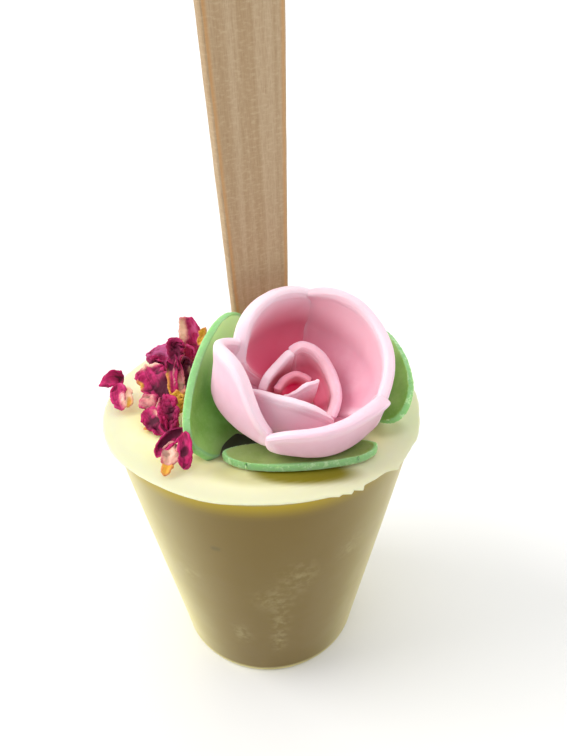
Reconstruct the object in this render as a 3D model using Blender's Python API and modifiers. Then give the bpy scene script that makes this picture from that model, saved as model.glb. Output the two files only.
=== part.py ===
"""Hot chocolate stick: a tapered block of white chocolate on a flat wooden stick, with a wafer rose,
its three wafer leaves and dried rose petals on top.

Units are metres, +Z is up. The origin is the centre of the flat foot of the chocolate, and -Y is the
front, the side with the rose.
"""

import math
import random
from dataclasses import dataclass

import bmesh
import bpy
from mathutils import Matrix, Vector

MM = 0.001
SMOOTH_BELOW = math.radians(40)

# The chocolate block, a turned cone frustum.
FOOT_RADIUS = 16.9 * MM
WALL_TOP_RADIUS = 25.0 * MM
LIP_RADIUS = 25.7 * MM
BLOCK_HEIGHT = 49.5 * MM
FOOT_ROUNDING = 0.6 * MM
LIP_THICKNESS = 0.7 * MM
LIP_UNDERSIDE = 0.25 * LIP_THICKNESS
LIP_ROUNDING = 0.35 * MM
BLOCK_STEPS = 72
FOOT_STEPS = 4
LIP_STEPS = 3

# The thin cast lip is even, except for one ragged stretch at the front right, where its teeth stand out.
LIP_WAVE = 0.12 * MM
RAGGED_FROM = math.radians(-69)
RAGGED_TO = math.radians(-39)
RAGGED_REACH = 0.9 * MM
RAGGED_TEETH = 2.5

# The wooden stick, a little wider at its upper end. It stands in a slot in the block.
STICK_LENGTH = 114.0 * MM
STICK_THICKNESS = 2.0 * MM
STICK_WIDTH_LOW = 8.2 * MM
STICK_WIDTH_HIGH = 11.9 * MM
STICK_SUNK = 38.0 * MM
STICK_EDGE = 0.3 * MM
STICK_EDGE_STEPS = 2
STICK_END_STEPS = 12
STICK_X = -0.3 * MM
STICK_Y = 9.5 * MM
STICK_TURN = math.radians(26.5)
STICK_LEAN_SIDE = math.radians(-1.2)
STICK_LEAN_FRONT = math.radians(-10)

# What rests on the block, or stands beside another piece, keeps this gap.
GAP = 0.3 * MM
TOP_CUTTER_DEPTH = 8.0 * MM

# The wafer rose. Its axis leans to the front and to the right.
WAFER = 1.0 * MM
ROSE_FOOT = Vector((4.5 * MM, -7.2 * MM, BLOCK_HEIGHT + 2.9 * MM))
ROSE_LEAN_FRONT = math.radians(15)
ROSE_LEAN_SIDE = math.radians(8)
FULL_WIDTH_AT = 0.5

# A dried petal's middle surface stays this far above the block's top.
DRY_THICKNESS = 0.45 * MM
DRY_CLEAR = GAP + 0.75 * DRY_THICKNESS

# Columns and rows of the sheets.
OUTER_GRID = (14, 8)
BUD_GRID = (12, 6)
HEART_GRID = (10, 5)
LEAF_GRID = (10, 12)
DRY_GRID = (10, 10)

PINK = (0.86, 0.42, 0.52, 1.0)
GREEN = (0.16, 0.42, 0.12, 1.0)
IVORY = (0.93, 0.87, 0.55, 1.0)
BIRCH = (0.62, 0.44, 0.26, 1.0)
MAGENTA = (0.36, 0.03, 0.13, 1.0)


@dataclass(frozen=True)
class Petal:
    """One cupped wafer petal of the rose, in the rose's own frame: its axis is Z and its front is -Y.

    Angles are in degrees, counted from the rose's right side, and sizes are in millimetres. heights are
    the rim's, and bellies and rims are how far out the middle surface stands at its fullest and at its
    rim. Each has three values: at the petal's first side, at its middle and at its last side. The foot
    stands nearer the axis than the fullest part by narrowing. corner is the share of the height by
    which the rim's corners are rounded down, foot_share the share of the angle that the foot spans, and
    belly_at the share of the height at which the petal is fullest.
    """

    name: str
    first: float
    last: float
    heights: tuple
    bellies: tuple
    rims: tuple
    narrowing: float
    foot_height: float = 0.0
    corner: float = 0.25
    foot_share: float = 0.8
    belly_at: float = 0.5


OUTER_PETALS = (
    Petal("rose_petal_right", -24, 90, (12.2, 14.2, 13.4), (11.6, 11.4, 10.2), (12.6, 11.8, 10.6), 8.4,
          foot_share=0.9),
    Petal("rose_petal_back", 73, 171, (13.6, 12.5, 8.4), (13.4, 11.2, 9.3), (13.6, 11.6, 9.5), 8.4),
    Petal("rose_petal_left", 157, 250, (9.4, 13.3, 5.8), (11.5, 11.8, 9.0), (11.4, 10.4, 9.0), 7.8,
          corner=0.1, belly_at=0.28),
    Petal("rose_petal_front", 251, 340, (6.8, 10.0, 9.6), (12.0, 12.1, 13.0), (12.2, 12.2, 14.2), 5.4,
          foot_height=1.8, foot_share=0.85, corner=0.15, belly_at=0.26),
)

BUD_PETALS = (
    Petal("rose_bud_right", -44, 106, (5.2, 6.4, 8.4), (6.4, 5.9, 5.9), (6.5, 5.9, 5.9), 0.8, 3.3, 0.15),
    Petal("rose_bud_left", 95, 184, (7.2, 5.6, 4.6), (4.1, 4.3, 4.6), (4.1, 4.3, 4.6), 0.6, 3.0, 0.1),
    Petal("rose_bud_front", 192, 306, (4.9, 9.0, 5.4), (7.0, 7.2, 7.5), (6.9, 6.9, 7.5), 1.2, 2.9, 0.05),
)

HEART_PETALS = (
    Petal("rose_heart_back", 36, 184, (4.7, 4.7, 4.1), (2.4, 2.3, 2.4), (2.5, 2.3, 2.5), 1.3, 2.6, 0.15),
    Petal("rose_heart_front", 222, 345, (4.2, 7.0, 6.6), (2.5, 2.7, 2.9), (2.4, 2.6, 2.8), 1.4, 2.6, 0.05),
)


@dataclass(frozen=True)
class Leaf:
    """One wafer leaf: an oval disc, dished by cup. Sizes are in millimetres.

    centre is a point in the block's frame, with its height above the block's top. The hollow side faces
    along normal. length runs along the direction in the leaf's plane that is nearest to along, and left
    and right are its half widths to either side of that line.
    """

    name: str
    centre: tuple
    normal: tuple
    along: tuple
    length: float
    left: float
    right: float
    cup: float


LEAVES = (
    Leaf("rose_leaf_left", (-7.85, -6.5, 6.8), (0.73, -0.46, 0.50), (0.22, 0.86, 0.47), 24.0, 4.6, 7.6, 2.2),
    Leaf("rose_leaf_front", (5.5, -16.3, 0.82), (0.0, -0.03, 1.0), (1.0, 0.07, 0.0), 21.8, 2.4, 3.7, 0.4),
    Leaf("rose_leaf_right", (18.0, -0.6, 5.0), (-0.74, -0.27, 0.62), (-0.23, 0.96, 0.15), 22.6, 5.6, 5.6,
         0.6),
)


@dataclass(frozen=True)
class DryPetal:
    """One dried, crumpled rose petal that lies on the block. Sizes are in millimetres, angles in degrees.

    foot, middle and tip are points of its spine, with heights above the block's top. Its hollow side
    faces along facing. width is that of its middle, and ends are the shares of it at the foot and the
    tip. Its sides curl by roll, and crumple is the height of its creases.
    """

    name: str
    foot: tuple
    middle: tuple
    tip: tuple
    facing: tuple
    width: float
    ends: tuple
    roll: float
    crumple: float
    seed: int


DRY_PETALS = (
    DryPetal("dry_petal_edge", (-21.9, -4.4, 0.8), (-23.0, -0.6, 2.6), (-27.2, 0.2, 2.2),
             (-0.2, -0.6, 0.7), 5.4, (0.45, 0.35), 100, 0.55, 3),
    DryPetal("dry_petal_tall", (-12.7, 9.6, 1.7), (-12.4, 9.0, 6.2), (-12.2, 8.0, 10.8),
             (-0.3, -0.8, 0.5), 5.0, (0.85, 0.8), 60, 0.30, 5),
    DryPetal("dry_petal_back", (-17.2, 5.4, 1.3), (-17.6, 6.8, 3.8), (-17.9, 7.6, 6.1),
             (-0.1, -0.7, 0.6), 5.2, (0.8, 0.9), 60, 0.40, 7),
    DryPetal("dry_petal_broad", (-16.2, -2.2, 1.0), (-18.2, 0.0, 2.8), (-20.1, 2.6, 4.0),
             (0.1, -0.7, 0.7), 5.0, (0.75, 0.8), 80, 0.40, 8),
    DryPetal("dry_petal_strip", (-13.1, -5.2, 0.8), (-13.8, -1.8, 4.6), (-13.6, 2.0, 9.6),
             (-0.1, -0.8, 0.5), 3.4, (0.8, 0.9), 140, 0.35, 13),
    DryPetal("dry_petal_shade", (-12.0, 3.4, 0.8), (-12.0, 4.6, 3.2), (-12.0, 5.4, 5.6),
             (-0.2, -0.9, 0.3), 3.0, (0.9, 0.8), 80, 0.40, 17),
    DryPetal("dry_petal_pale", (-15.9, -9.8, 0.8), (-17.6, -7.6, 1.9), (-18.7, -5.0, 2.6),
             (-0.2, -0.5, 0.8), 3.4, (0.7, 0.8), 75, 0.40, 19),
    DryPetal("dry_petal_low", (-13.8, -11.4, 0.8), (-14.0, -8.4, 3.2), (-14.9, -5.2, 4.2),
             (0.1, -0.5, 0.9), 3.5, (0.6, 0.8), 90, 0.50, 23),
    DryPetal("dry_petal_arch", (-13.9, -20.1, 0.8), (-13.1, -17.2, 1.2), (-12.3, -15.8, 5.0),
             (0.0, -0.7, 0.7), 6.1, (0.35, 0.7), 160, 0.45, 31),
)


def clear_scene():
    """Removes the start-up scene's objects."""
    for obj in list(bpy.data.objects):
        bpy.data.objects.remove(obj, do_unlink=True)


def new_collection(name):
    """Makes a collection in the scene."""
    collection = bpy.data.collections.new(name)
    bpy.context.scene.collection.children.link(collection)
    return collection


def new_material(name, colour, roughness):
    """Makes a plain Principled material."""
    material = bpy.data.materials.new(name)
    material.use_nodes = True
    shader = material.node_tree.nodes["Principled BSDF"]
    shader.inputs["Base Color"].default_value = colour
    shader.inputs["Roughness"].default_value = roughness
    shader.inputs["Metallic"].default_value = 0.0
    return material


def object_from(mesh_data, name, collection, material):
    """Turns a bmesh into an object of the collection, shaded smooth."""
    mesh = bpy.data.meshes.new(name)
    mesh_data.to_mesh(mesh)
    mesh_data.free()
    mesh.materials.append(material)
    obj = bpy.data.objects.new(name, mesh)
    collection.objects.link(obj)
    mesh.shade_smooth()
    mesh.set_sharp_from_angle(angle=SMOOTH_BELOW)
    return obj


def arc_points(centre, radius, start, end, steps):
    """Points on an arc in the (radius, height) plane, with angles in degrees from the outward direction."""
    points = []
    for step in range(steps + 1):
        angle = math.radians(start + (end - start) * step / steps)
        points.append((centre[0] + radius * math.cos(angle), centre[1] + radius * math.sin(angle)))
    return points


def block_profile():
    """The block's outline in the (radius, height) plane, from the foot's centre round to the top's."""
    slope = math.degrees(math.atan2(WALL_TOP_RADIUS - FOOT_RADIUS, BLOCK_HEIGHT))
    foot = arc_points((FOOT_RADIUS - FOOT_ROUNDING, FOOT_ROUNDING), FOOT_ROUNDING, -90, -slope, FOOT_STEPS)
    under_lip = BLOCK_HEIGHT - LIP_THICKNESS
    share = under_lip / BLOCK_HEIGHT
    wall_end = (FOOT_RADIUS + (WALL_TOP_RADIUS - FOOT_RADIUS) * share, under_lip)
    lip_low = (LIP_RADIUS, under_lip + LIP_UNDERSIDE)
    lip = arc_points((LIP_RADIUS - LIP_ROUNDING, BLOCK_HEIGHT - LIP_ROUNDING), LIP_ROUNDING, 0, 90, LIP_STEPS)
    return [(0.0, 0.0), *foot, wall_end, lip_low, *lip, (0.0, BLOCK_HEIGHT)]


def lip_change(angle):
    """How far the lip's edge departs from its circle at this angle round the block."""
    change = LIP_WAVE * (math.sin(3 * angle + 0.7) + 0.6 * math.sin(7 * angle))
    if RAGGED_FROM < angle < RAGGED_TO:
        along = (angle - RAGGED_FROM) / (RAGGED_TO - RAGGED_FROM)
        change += RAGGED_REACH * math.sin(math.pi * RAGGED_TEETH * along) ** 2
    return change


def make_block(collection, material):
    """The chocolate: a turned frustum with a thin cast lip round its top."""
    mesh = bmesh.new()
    points = [mesh.verts.new((radius, 0.0, height)) for radius, height in block_profile()]
    edges = [mesh.edges.new(pair) for pair in zip(points, points[1:])]
    bmesh.ops.spin(
        mesh,
        geom=points + edges,
        axis=(0, 0, 1),
        cent=(0, 0, 0),
        angle=2 * math.pi,
        steps=BLOCK_STEPS,
        use_merge=True,
    )
    bmesh.ops.remove_doubles(mesh, verts=mesh.verts, dist=0.01 * MM)
    for vert in mesh.verts:
        radius = math.hypot(vert.co.x, vert.co.y)
        if radius > WALL_TOP_RADIUS + 0.1 * MM:
            scale = 1 + lip_change(math.atan2(vert.co.y, vert.co.x)) / radius
            vert.co.x *= scale
            vert.co.y *= scale
    bmesh.ops.recalc_face_normals(mesh, faces=mesh.faces)
    return object_from(mesh, "chocolate_block", collection, material)


def stick_outline(extra):
    """The stick's outline in its own plane, from its lower end up, grown by extra all round."""
    points = []
    for end, width, centre in (
        (-1, STICK_WIDTH_LOW, STICK_WIDTH_LOW / 2),
        (1, STICK_WIDTH_HIGH, STICK_LENGTH - STICK_WIDTH_HIGH / 2),
    ):
        radius = width / 2 + extra
        for step in range(STICK_END_STEPS + 1):
            angle = math.pi * step / STICK_END_STEPS
            points.append((end * radius * math.cos(angle), centre + end * radius * math.sin(angle)))
    return points


def make_stick(name, collection, material, extra=0.0):
    """The stick, or its cutter grown by extra: a flat outline drawn out to its thickness."""
    mesh = bmesh.new()
    half = STICK_THICKNESS / 2 + extra
    outline = [mesh.verts.new((x, -half, z)) for x, z in stick_outline(extra)]
    face = mesh.faces.new(outline)
    drawn = bmesh.ops.extrude_face_region(mesh, geom=[face])
    moved = [item for item in drawn["geom"] if isinstance(item, bmesh.types.BMVert)]
    bmesh.ops.translate(mesh, verts=moved, vec=(0, 2 * half, 0))
    bmesh.ops.recalc_face_normals(mesh, faces=mesh.faces)
    stick = object_from(mesh, name, collection, material)
    up = Vector((math.tan(STICK_LEAN_SIDE), math.tan(STICK_LEAN_FRONT), 1.0)).normalized()
    across = Vector((math.cos(STICK_TURN), math.sin(STICK_TURN), 0.0))
    across = (across - up * across.dot(up)).normalized()
    through = up.cross(across)
    pose = Matrix((across, through, up)).transposed().to_4x4()
    pose.translation = Vector((STICK_X, STICK_Y, BLOCK_HEIGHT)) - up * STICK_SUNK
    stick.matrix_world = pose
    return stick


def round_edges(obj, width, steps):
    """Adds a Bevel that rounds the object's sharp edges."""
    bevel = obj.modifiers.new("rounded edges", "BEVEL")
    bevel.width = width
    bevel.segments = steps
    bevel.limit_method = "ANGLE"
    bevel.angle_limit = SMOOTH_BELOW


def cut(obj, cutter):
    """Cuts the cutter out of the object."""
    boolean = obj.modifiers.new("cut", "BOOLEAN")
    boolean.operation = "DIFFERENCE"
    boolean.object = cutter
    boolean.solver = "EXACT"
    cutter.hide_render = True
    cutter.display_type = "WIRE"


def sheet(grid, place):
    """A bmesh sheet whose points place(u, v) sets, with u from -1 to 1 and v from 0 to 1."""
    mesh = bmesh.new()
    bmesh.ops.create_grid(mesh, x_segments=grid[0], y_segments=grid[1], size=1.0)
    for vert in mesh.verts:
        vert.co = place(vert.co.x, (vert.co.y + 1) / 2)
    bmesh.ops.triangulate(mesh, faces=mesh.faces, quad_method="SHORT_EDGE")
    return mesh


def thicken(obj, thickness):
    """Gives a sheet its thickness, half to each side."""
    solid = obj.modifiers.new("thickness", "SOLIDIFY")
    solid.thickness = thickness
    solid.offset = 0.0
    solid.use_even_offset = True


def make_top_cutter(collection, material):
    """A slab over the block that cuts off what would sink into the block's top."""
    mesh = bmesh.new()
    bmesh.ops.create_cube(mesh, size=1.0)
    bmesh.ops.scale(mesh, verts=mesh.verts, vec=(3 * LIP_RADIUS, 3 * LIP_RADIUS, TOP_CUTTER_DEPTH))
    slab = object_from(mesh, "top_cutter", collection, material)
    slab.location.z = BLOCK_HEIGHT + GAP - TOP_CUTTER_DEPTH / 2
    return slab


def rose_frame():
    """The rose's frame in the block's: its foot, and its axis leant to the front and to the right."""
    lean = Matrix.Rotation(ROSE_LEAN_FRONT, 4, "X") @ Matrix.Rotation(ROSE_LEAN_SIDE, 4, "Y")
    return Matrix.Translation(ROSE_FOOT) @ lean


def between(values, u):
    """The smooth curve through three values, for u from -1 to 1."""
    first, middle, last = values
    return middle + (last - first) / 2 * u + ((last + first) / 2 - middle) * u * u


def petal_point(petal, u, v):
    """The point of a petal's middle surface at u across it and v up it."""
    middle, half = (petal.first + petal.last) / 2, (petal.last - petal.first) / 2
    share = petal.foot_share + (1 - petal.foot_share) * math.sin(min(v / FULL_WIDTH_AT, 1.0) * math.pi / 2)
    angle = math.radians(middle + half * u * share)
    rim_height = between(petal.heights, u) * (1 - petal.corner * abs(u) ** 5)
    height = petal.foot_height + v * (rim_height - petal.foot_height)
    rise = (height - petal.foot_height) / (max(petal.heights) - petal.foot_height)
    belly, rim = between(petal.bellies, u), between(petal.rims, u)
    swell = math.sin(min(rise / petal.belly_at, 1.0) * math.pi / 2)
    curl = max(0.0, (rise - petal.belly_at) / (1 - petal.belly_at)) ** 2
    radius = belly - petal.narrowing * (1 - swell) + (rim - belly) * curl
    return Vector((radius * math.cos(angle), radius * math.sin(angle), height)) * MM


def make_petal(petal, grid, collection, material):
    """One wafer petal of the rose."""
    mesh = sheet(grid, lambda u, v: petal_point(petal, u, v))
    obj = object_from(mesh, petal.name, collection, material)
    thicken(obj, WAFER)
    return obj


def leaf_point(leaf, u, v):
    """The point of a leaf's middle surface, from a square sheet drawn in to an oval."""
    w = 2 * v - 1
    x = u * math.sqrt(1 - w * w / 2)
    y = w * math.sqrt(1 - u * u / 2)
    hollow = leaf.cup * (x * x + y * y)
    width = leaf.left if x < 0 else leaf.right
    return Vector((x * width, y * leaf.length / 2, hollow)) * MM


def make_leaf(leaf, collection, material):
    """One wafer leaf, turned so that its hollow side faces along its normal."""
    mesh = sheet(LEAF_GRID, lambda u, v: leaf_point(leaf, u, v))
    obj = object_from(mesh, leaf.name, collection, material)
    thicken(obj, WAFER)
    normal = Vector(leaf.normal).normalized()
    along = Vector(leaf.along)
    along = (along - normal * along.dot(normal)).normalized()
    pose = Matrix((along.cross(normal), along, normal)).transposed().to_4x4()
    pose.translation = Vector(leaf.centre) * MM + Vector((0, 0, BLOCK_HEIGHT))
    obj.matrix_world = pose
    return obj


def crease(draw, u, v):
    """The height, from -1 to 1, of a petal's creases at u, v. draw holds the creases' angles and phases."""
    height = 0.0
    for number, (angle, phase) in enumerate(draw, start=1):
        along = u * math.cos(angle) + 2 * v * math.sin(angle)
        height += math.sin(along * (1.8 + 1.7 * number) + phase) / number
    return height / 1.8


def dry_petal_point(petal, draw, u, v):
    """The point of a dried petal's middle surface, curled across and creased, most at its sides."""
    spine_points = [Vector(point) for point in (petal.foot, petal.middle, petal.tip)]
    along = 2 * v * (1 - 0.15 * u * u * v) - 1
    spine = between(spine_points, along)
    tangent = (between(spine_points, along + 0.02) - spine).normalized()
    facing = Vector(petal.facing)
    facing = (facing - tangent * facing.dot(tangent)).normalized()
    half = petal.width / 2 * between((petal.ends[0], 1.0, petal.ends[1]), along)
    curl = math.radians(petal.roll) / 2
    across = half * math.sin(curl * u) / curl
    deep = half * (1 - math.cos(curl * u)) / curl
    deep += petal.crumple * (0.6 + 0.6 * u * u) * crease(draw, u, v)
    return (spine + tangent.cross(facing) * across + facing * deep) * MM


def make_dry_petal(petal, collection, material):
    """One dried petal, lifted if need be so that it is just clear of the block's top."""
    rng = random.Random(petal.seed)
    draw = [(rng.uniform(0, math.pi), rng.uniform(0, 2 * math.pi)) for _ in range(3)]
    mesh = sheet(DRY_GRID, lambda u, v: dry_petal_point(petal, draw, u, v))
    lowest = min(vert.co.z for vert in mesh.verts)
    obj = object_from(mesh, petal.name, collection, material)
    thicken(obj, DRY_THICKNESS)
    obj.location.z = BLOCK_HEIGHT + max(0.0, DRY_CLEAR - lowest)
    return obj


def main():
    """Builds the hot chocolate stick."""
    clear_scene()
    part = new_collection("hot_chocolate_stick")
    cutters = new_collection("cutters")
    ivory = new_material("white chocolate", IVORY, 0.35)
    birch = new_material("birch wood", BIRCH, 0.7)
    pink = new_material("pink wafer", PINK, 0.6)
    green = new_material("green wafer", GREEN, 0.6)
    magenta = new_material("dried petal", MAGENTA, 0.8)

    block = make_block(part, ivory)
    stick = make_stick("wooden_stick", part, birch)
    round_edges(stick, STICK_EDGE, STICK_EDGE_STEPS)
    cut(block, make_stick("slot_cutter", cutters, birch, extra=GAP))

    frame = rose_frame()
    for petals, grid in ((OUTER_PETALS, OUTER_GRID), (BUD_PETALS, BUD_GRID), (HEART_PETALS, HEART_GRID)):
        for petal in petals:
            make_petal(petal, grid, part, pink).matrix_world = frame
    top_cutter = make_top_cutter(cutters, green)
    for leaf in LEAVES:
        cut(make_leaf(leaf, part, green), top_cutter)
    for petal in DRY_PETALS:
        make_dry_petal(petal, part, magenta)


main()
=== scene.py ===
"""Looks of the hot chocolate stick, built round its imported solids.

Units are metres, +Z is up. The origin is the centre of the block's flat foot, and -Y is the front, the
side with the rose. Each fine piece stands where its plain solid stands, and replaces it.
"""

import logging
import math
from collections.abc import Callable, Sequence
from dataclasses import dataclass
from enum import Enum
from typing import TypeVar, Union

import bmesh
import bpy
from mathutils import Matrix, Vector, noise


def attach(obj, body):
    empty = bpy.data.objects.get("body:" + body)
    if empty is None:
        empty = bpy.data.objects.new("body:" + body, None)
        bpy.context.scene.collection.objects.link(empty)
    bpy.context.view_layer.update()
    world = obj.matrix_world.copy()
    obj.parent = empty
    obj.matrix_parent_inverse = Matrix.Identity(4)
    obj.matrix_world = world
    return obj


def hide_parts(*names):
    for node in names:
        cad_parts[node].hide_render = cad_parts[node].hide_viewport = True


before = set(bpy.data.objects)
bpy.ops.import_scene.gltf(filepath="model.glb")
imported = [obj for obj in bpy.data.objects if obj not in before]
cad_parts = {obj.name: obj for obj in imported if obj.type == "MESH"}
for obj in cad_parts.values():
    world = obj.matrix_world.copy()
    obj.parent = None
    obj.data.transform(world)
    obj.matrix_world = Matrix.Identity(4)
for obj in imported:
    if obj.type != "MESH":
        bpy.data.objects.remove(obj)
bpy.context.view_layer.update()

log = logging.getLogger("hot_chocolate_stick")

MM = 0.001
WELD = 0.002 * MM
BODY = "root"
BLOCK_HEIGHT = 49.5 * MM

Colour = tuple[float, float, float, float]
Point = tuple[float, float, float]
Pair = tuple[float, float]
Socket = bpy.types.NodeSocket
Input = Union[Socket, float, Colour]
Value = TypeVar("Value", float, Vector)


class Slot(Enum):
    """The record's material slots."""

    CHOCOLATE = "white_chocolate"
    WOOD = "birch_wood"
    PINK = "pink_wafer"
    GREEN = "green_wafer"
    DRIED = "dried_petal"


class Mark(Enum):
    """The values painted on a mesh's points, which the finishes read."""

    ACROSS = "across"
    ALONG = "along"
    SIDE = "side"
    RIM = "rim"
    TOP = "top"
    LIP = "lip"
    GLOW = "glow"
    BLOOM = "bloom"
    CREASE = "crease"
    TINT = "tint"


def paint(red: float, green: float, blue: float) -> Colour:
    """Turns a screen colour into the linear colour that a shader takes.

    Args:
        red, green, blue: The screen colour, from 0 to 255.

    Returns:
        The linear colour, with an alpha of 1.
    """
    def linear(value: float) -> float:
        """Undoes the screen's curve for one channel."""
        share = value / 255
        return share / 12.92 if share <= 0.04045 else ((share + 0.055) / 1.055) ** 2.4

    return linear(red), linear(green), linear(blue), 1.0


def smooth(low: float, high: float, value: float) -> float:
    """Eases from 0 at low to 1 at high.

    Args:
        low: Where the result is 0.
        high: Where the result is 1. It may be below low.
        value: The value between them.

    Returns:
        The eased share.
    """
    share = min(1.0, max(0.0, (value - low) / (high - low)))
    return share * share * (3 - 2 * share)


def through(values: Sequence[Value], place: float) -> Value:
    """The polynomial through evenly spaced values.

    Args:
        values: Numbers or vectors, for places evenly spaced from -1 to 1.
        place: The place, from -1 to 1.

    Returns:
        The value at the place.
    """
    count = len(values)
    places = [2 * index / (count - 1) - 1 for index in range(count)]
    total = values[0] * 0.0
    for index, value in enumerate(values):
        weight = 1.0
        for other in range(count):
            if other != index:
                weight *= (place - places[other]) / (places[index] - places[other])
        total = total + value * weight
    return total


def wander(point: Vector, size: float) -> float:
    """Smooth noise.

    Args:
        point: The place, in metres.
        size: The size of its lumps, in metres.

    Returns:
        A value from about -1 to 1.
    """
    return noise.noise(point / size)


class Graph:
    """The node tree of one finish, built up step by step."""

    def __init__(self, name: str) -> None:
        """Starts a material with its Principled shader.

        Args:
            name: The material's name.
        """
        self.material = bpy.data.materials.new(name)
        self.material.use_nodes = True
        self.tree = self.material.node_tree
        self.shader = self.tree.nodes["Principled BSDF"]

    def node(self, kind: str, inputs: dict[str | int, Input], **settings: str) -> bpy.types.Node:
        """Adds a node.

        Args:
            kind: The node's type name.
            inputs: Its sockets by name or number, each with a value or another node's output.
            settings: Its other settings.

        Returns:
            The node.
        """
        node = self.tree.nodes.new(kind)
        for name, value in settings.items():
            setattr(node, name, value)
        for name, value in inputs.items():
            if isinstance(value, Socket):
                self.tree.links.new(value, node.inputs[name])
            else:
                node.inputs[name].default_value = value
        return node

    def position(self) -> Socket:
        """The point in the row frame, in metres."""
        return self.node("ShaderNodeTexCoord", {}).outputs["Object"]

    def mark(self, mark: Mark) -> Socket:
        """A value painted on the mesh."""
        return self.node("ShaderNodeAttribute", {}, attribute_name=mark.value).outputs["Fac"]

    def join(self, x: Input, y: Input, z: Input) -> Socket:
        """A vector made of three values."""
        return self.node("ShaderNodeCombineXYZ", {"X": x, "Y": y, "Z": z}).outputs[0]

    def stretch(self, vector: Socket, scale: Point) -> Socket:
        """The vector, scaled along each axis."""
        return self.node("ShaderNodeMapping", {"Vector": vector, "Scale": scale}).outputs[0]

    def noise(
        self,
        vector: Socket,
        scale: float,
        detail: float = 4.0,
        roughness: float = 0.55,
        distortion: float = 0.0,
    ) -> Socket:
        """Noise texture.

        Args:
            vector: Where it is read.
            scale: Lumps per unit of the vector.
            detail: Octaves.
            roughness: Share that each finer octave keeps.
            distortion: How far the lumps are swirled.

        Returns:
            A value round 0.5.
        """
        inputs = {
            "Vector": vector,
            "Scale": scale,
            "Detail": detail,
            "Roughness": roughness,
            "Distortion": distortion,
        }
        return self.node("ShaderNodeTexNoise", inputs).outputs["Fac"]

    def fit(self, value: Input, low: float, high: float, start: float = 0.0, end: float = 1.0) -> Socket:
        """Eases a value's range to another.

        Args:
            value: The value.
            low: The value that becomes start.
            high: The value that becomes end.
            start: The result at low and below.
            end: The result at high and above.

        Returns:
            The new value.
        """
        inputs = {"Value": value, "From Min": low, "From Max": high, "To Min": start, "To Max": end}
        node = self.node("ShaderNodeMapRange", inputs, interpolation_type="SMOOTHSTEP")
        return node.outputs["Result"]

    def add(self, first: Input, second: Input) -> Socket:
        """The sum of two values."""
        return self.node("ShaderNodeMath", {0: first, 1: second}, operation="ADD").outputs[0]

    def times(self, first: Input, second: Input) -> Socket:
        """The product of two values."""
        return self.node("ShaderNodeMath", {0: first, 1: second}, operation="MULTIPLY").outputs[0]

    def less(self, first: Input, second: Input) -> Socket:
        """The first value less the second."""
        return self.node("ShaderNodeMath", {0: first, 1: second}, operation="SUBTRACT").outputs[0]

    def mix(self, share: Input, first: Input, second: Input) -> Socket:
        """Blends two colours.

        Args:
            share: How much of the second colour there is.
            first: The first colour.
            second: The second colour.

        Returns:
            The colour.
        """
        # Its sockets for colours go by number, as those for plain values have the same names.
        node = self.node("ShaderNodeMix", {0: share, 6: first, 7: second}, data_type="RGBA")
        return node.outputs[2]

    def bump(self, height: Socket, distance: float, strength: float = 1.0) -> None:
        """Adds relief to the shader's normal.

        Args:
            height: The relief, from 0 to 1.
            distance: What 1 stands for, in metres.
            strength: How much of it shows.
        """
        inputs = {"Height": height, "Distance": distance, "Strength": strength}
        normal = self.shader.inputs["Normal"]
        if normal.is_linked:
            inputs["Normal"] = normal.links[0].from_socket
        self.tree.links.new(self.node("ShaderNodeBump", inputs).outputs[0], normal)

    def finish(self, colour: Input, roughness: Input, **sockets: float | Point) -> bpy.types.Material:
        """Feeds the shader.

        Args:
            colour: The base colour, as a value or an output.
            roughness: The roughness, as a value or an output.
            sockets: Plain values of other sockets, by their names with _ for a blank.

        Returns:
            The material.
        """
        for name, value in {"Base Color": colour, "Roughness": roughness}.items():
            if isinstance(value, Socket):
                self.tree.links.new(value, self.shader.inputs[name])
            else:
                self.shader.inputs[name].default_value = value
        for name, value in sockets.items():
            self.shader.inputs[name.replace("_", " ")].default_value = value
        return self.material


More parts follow.
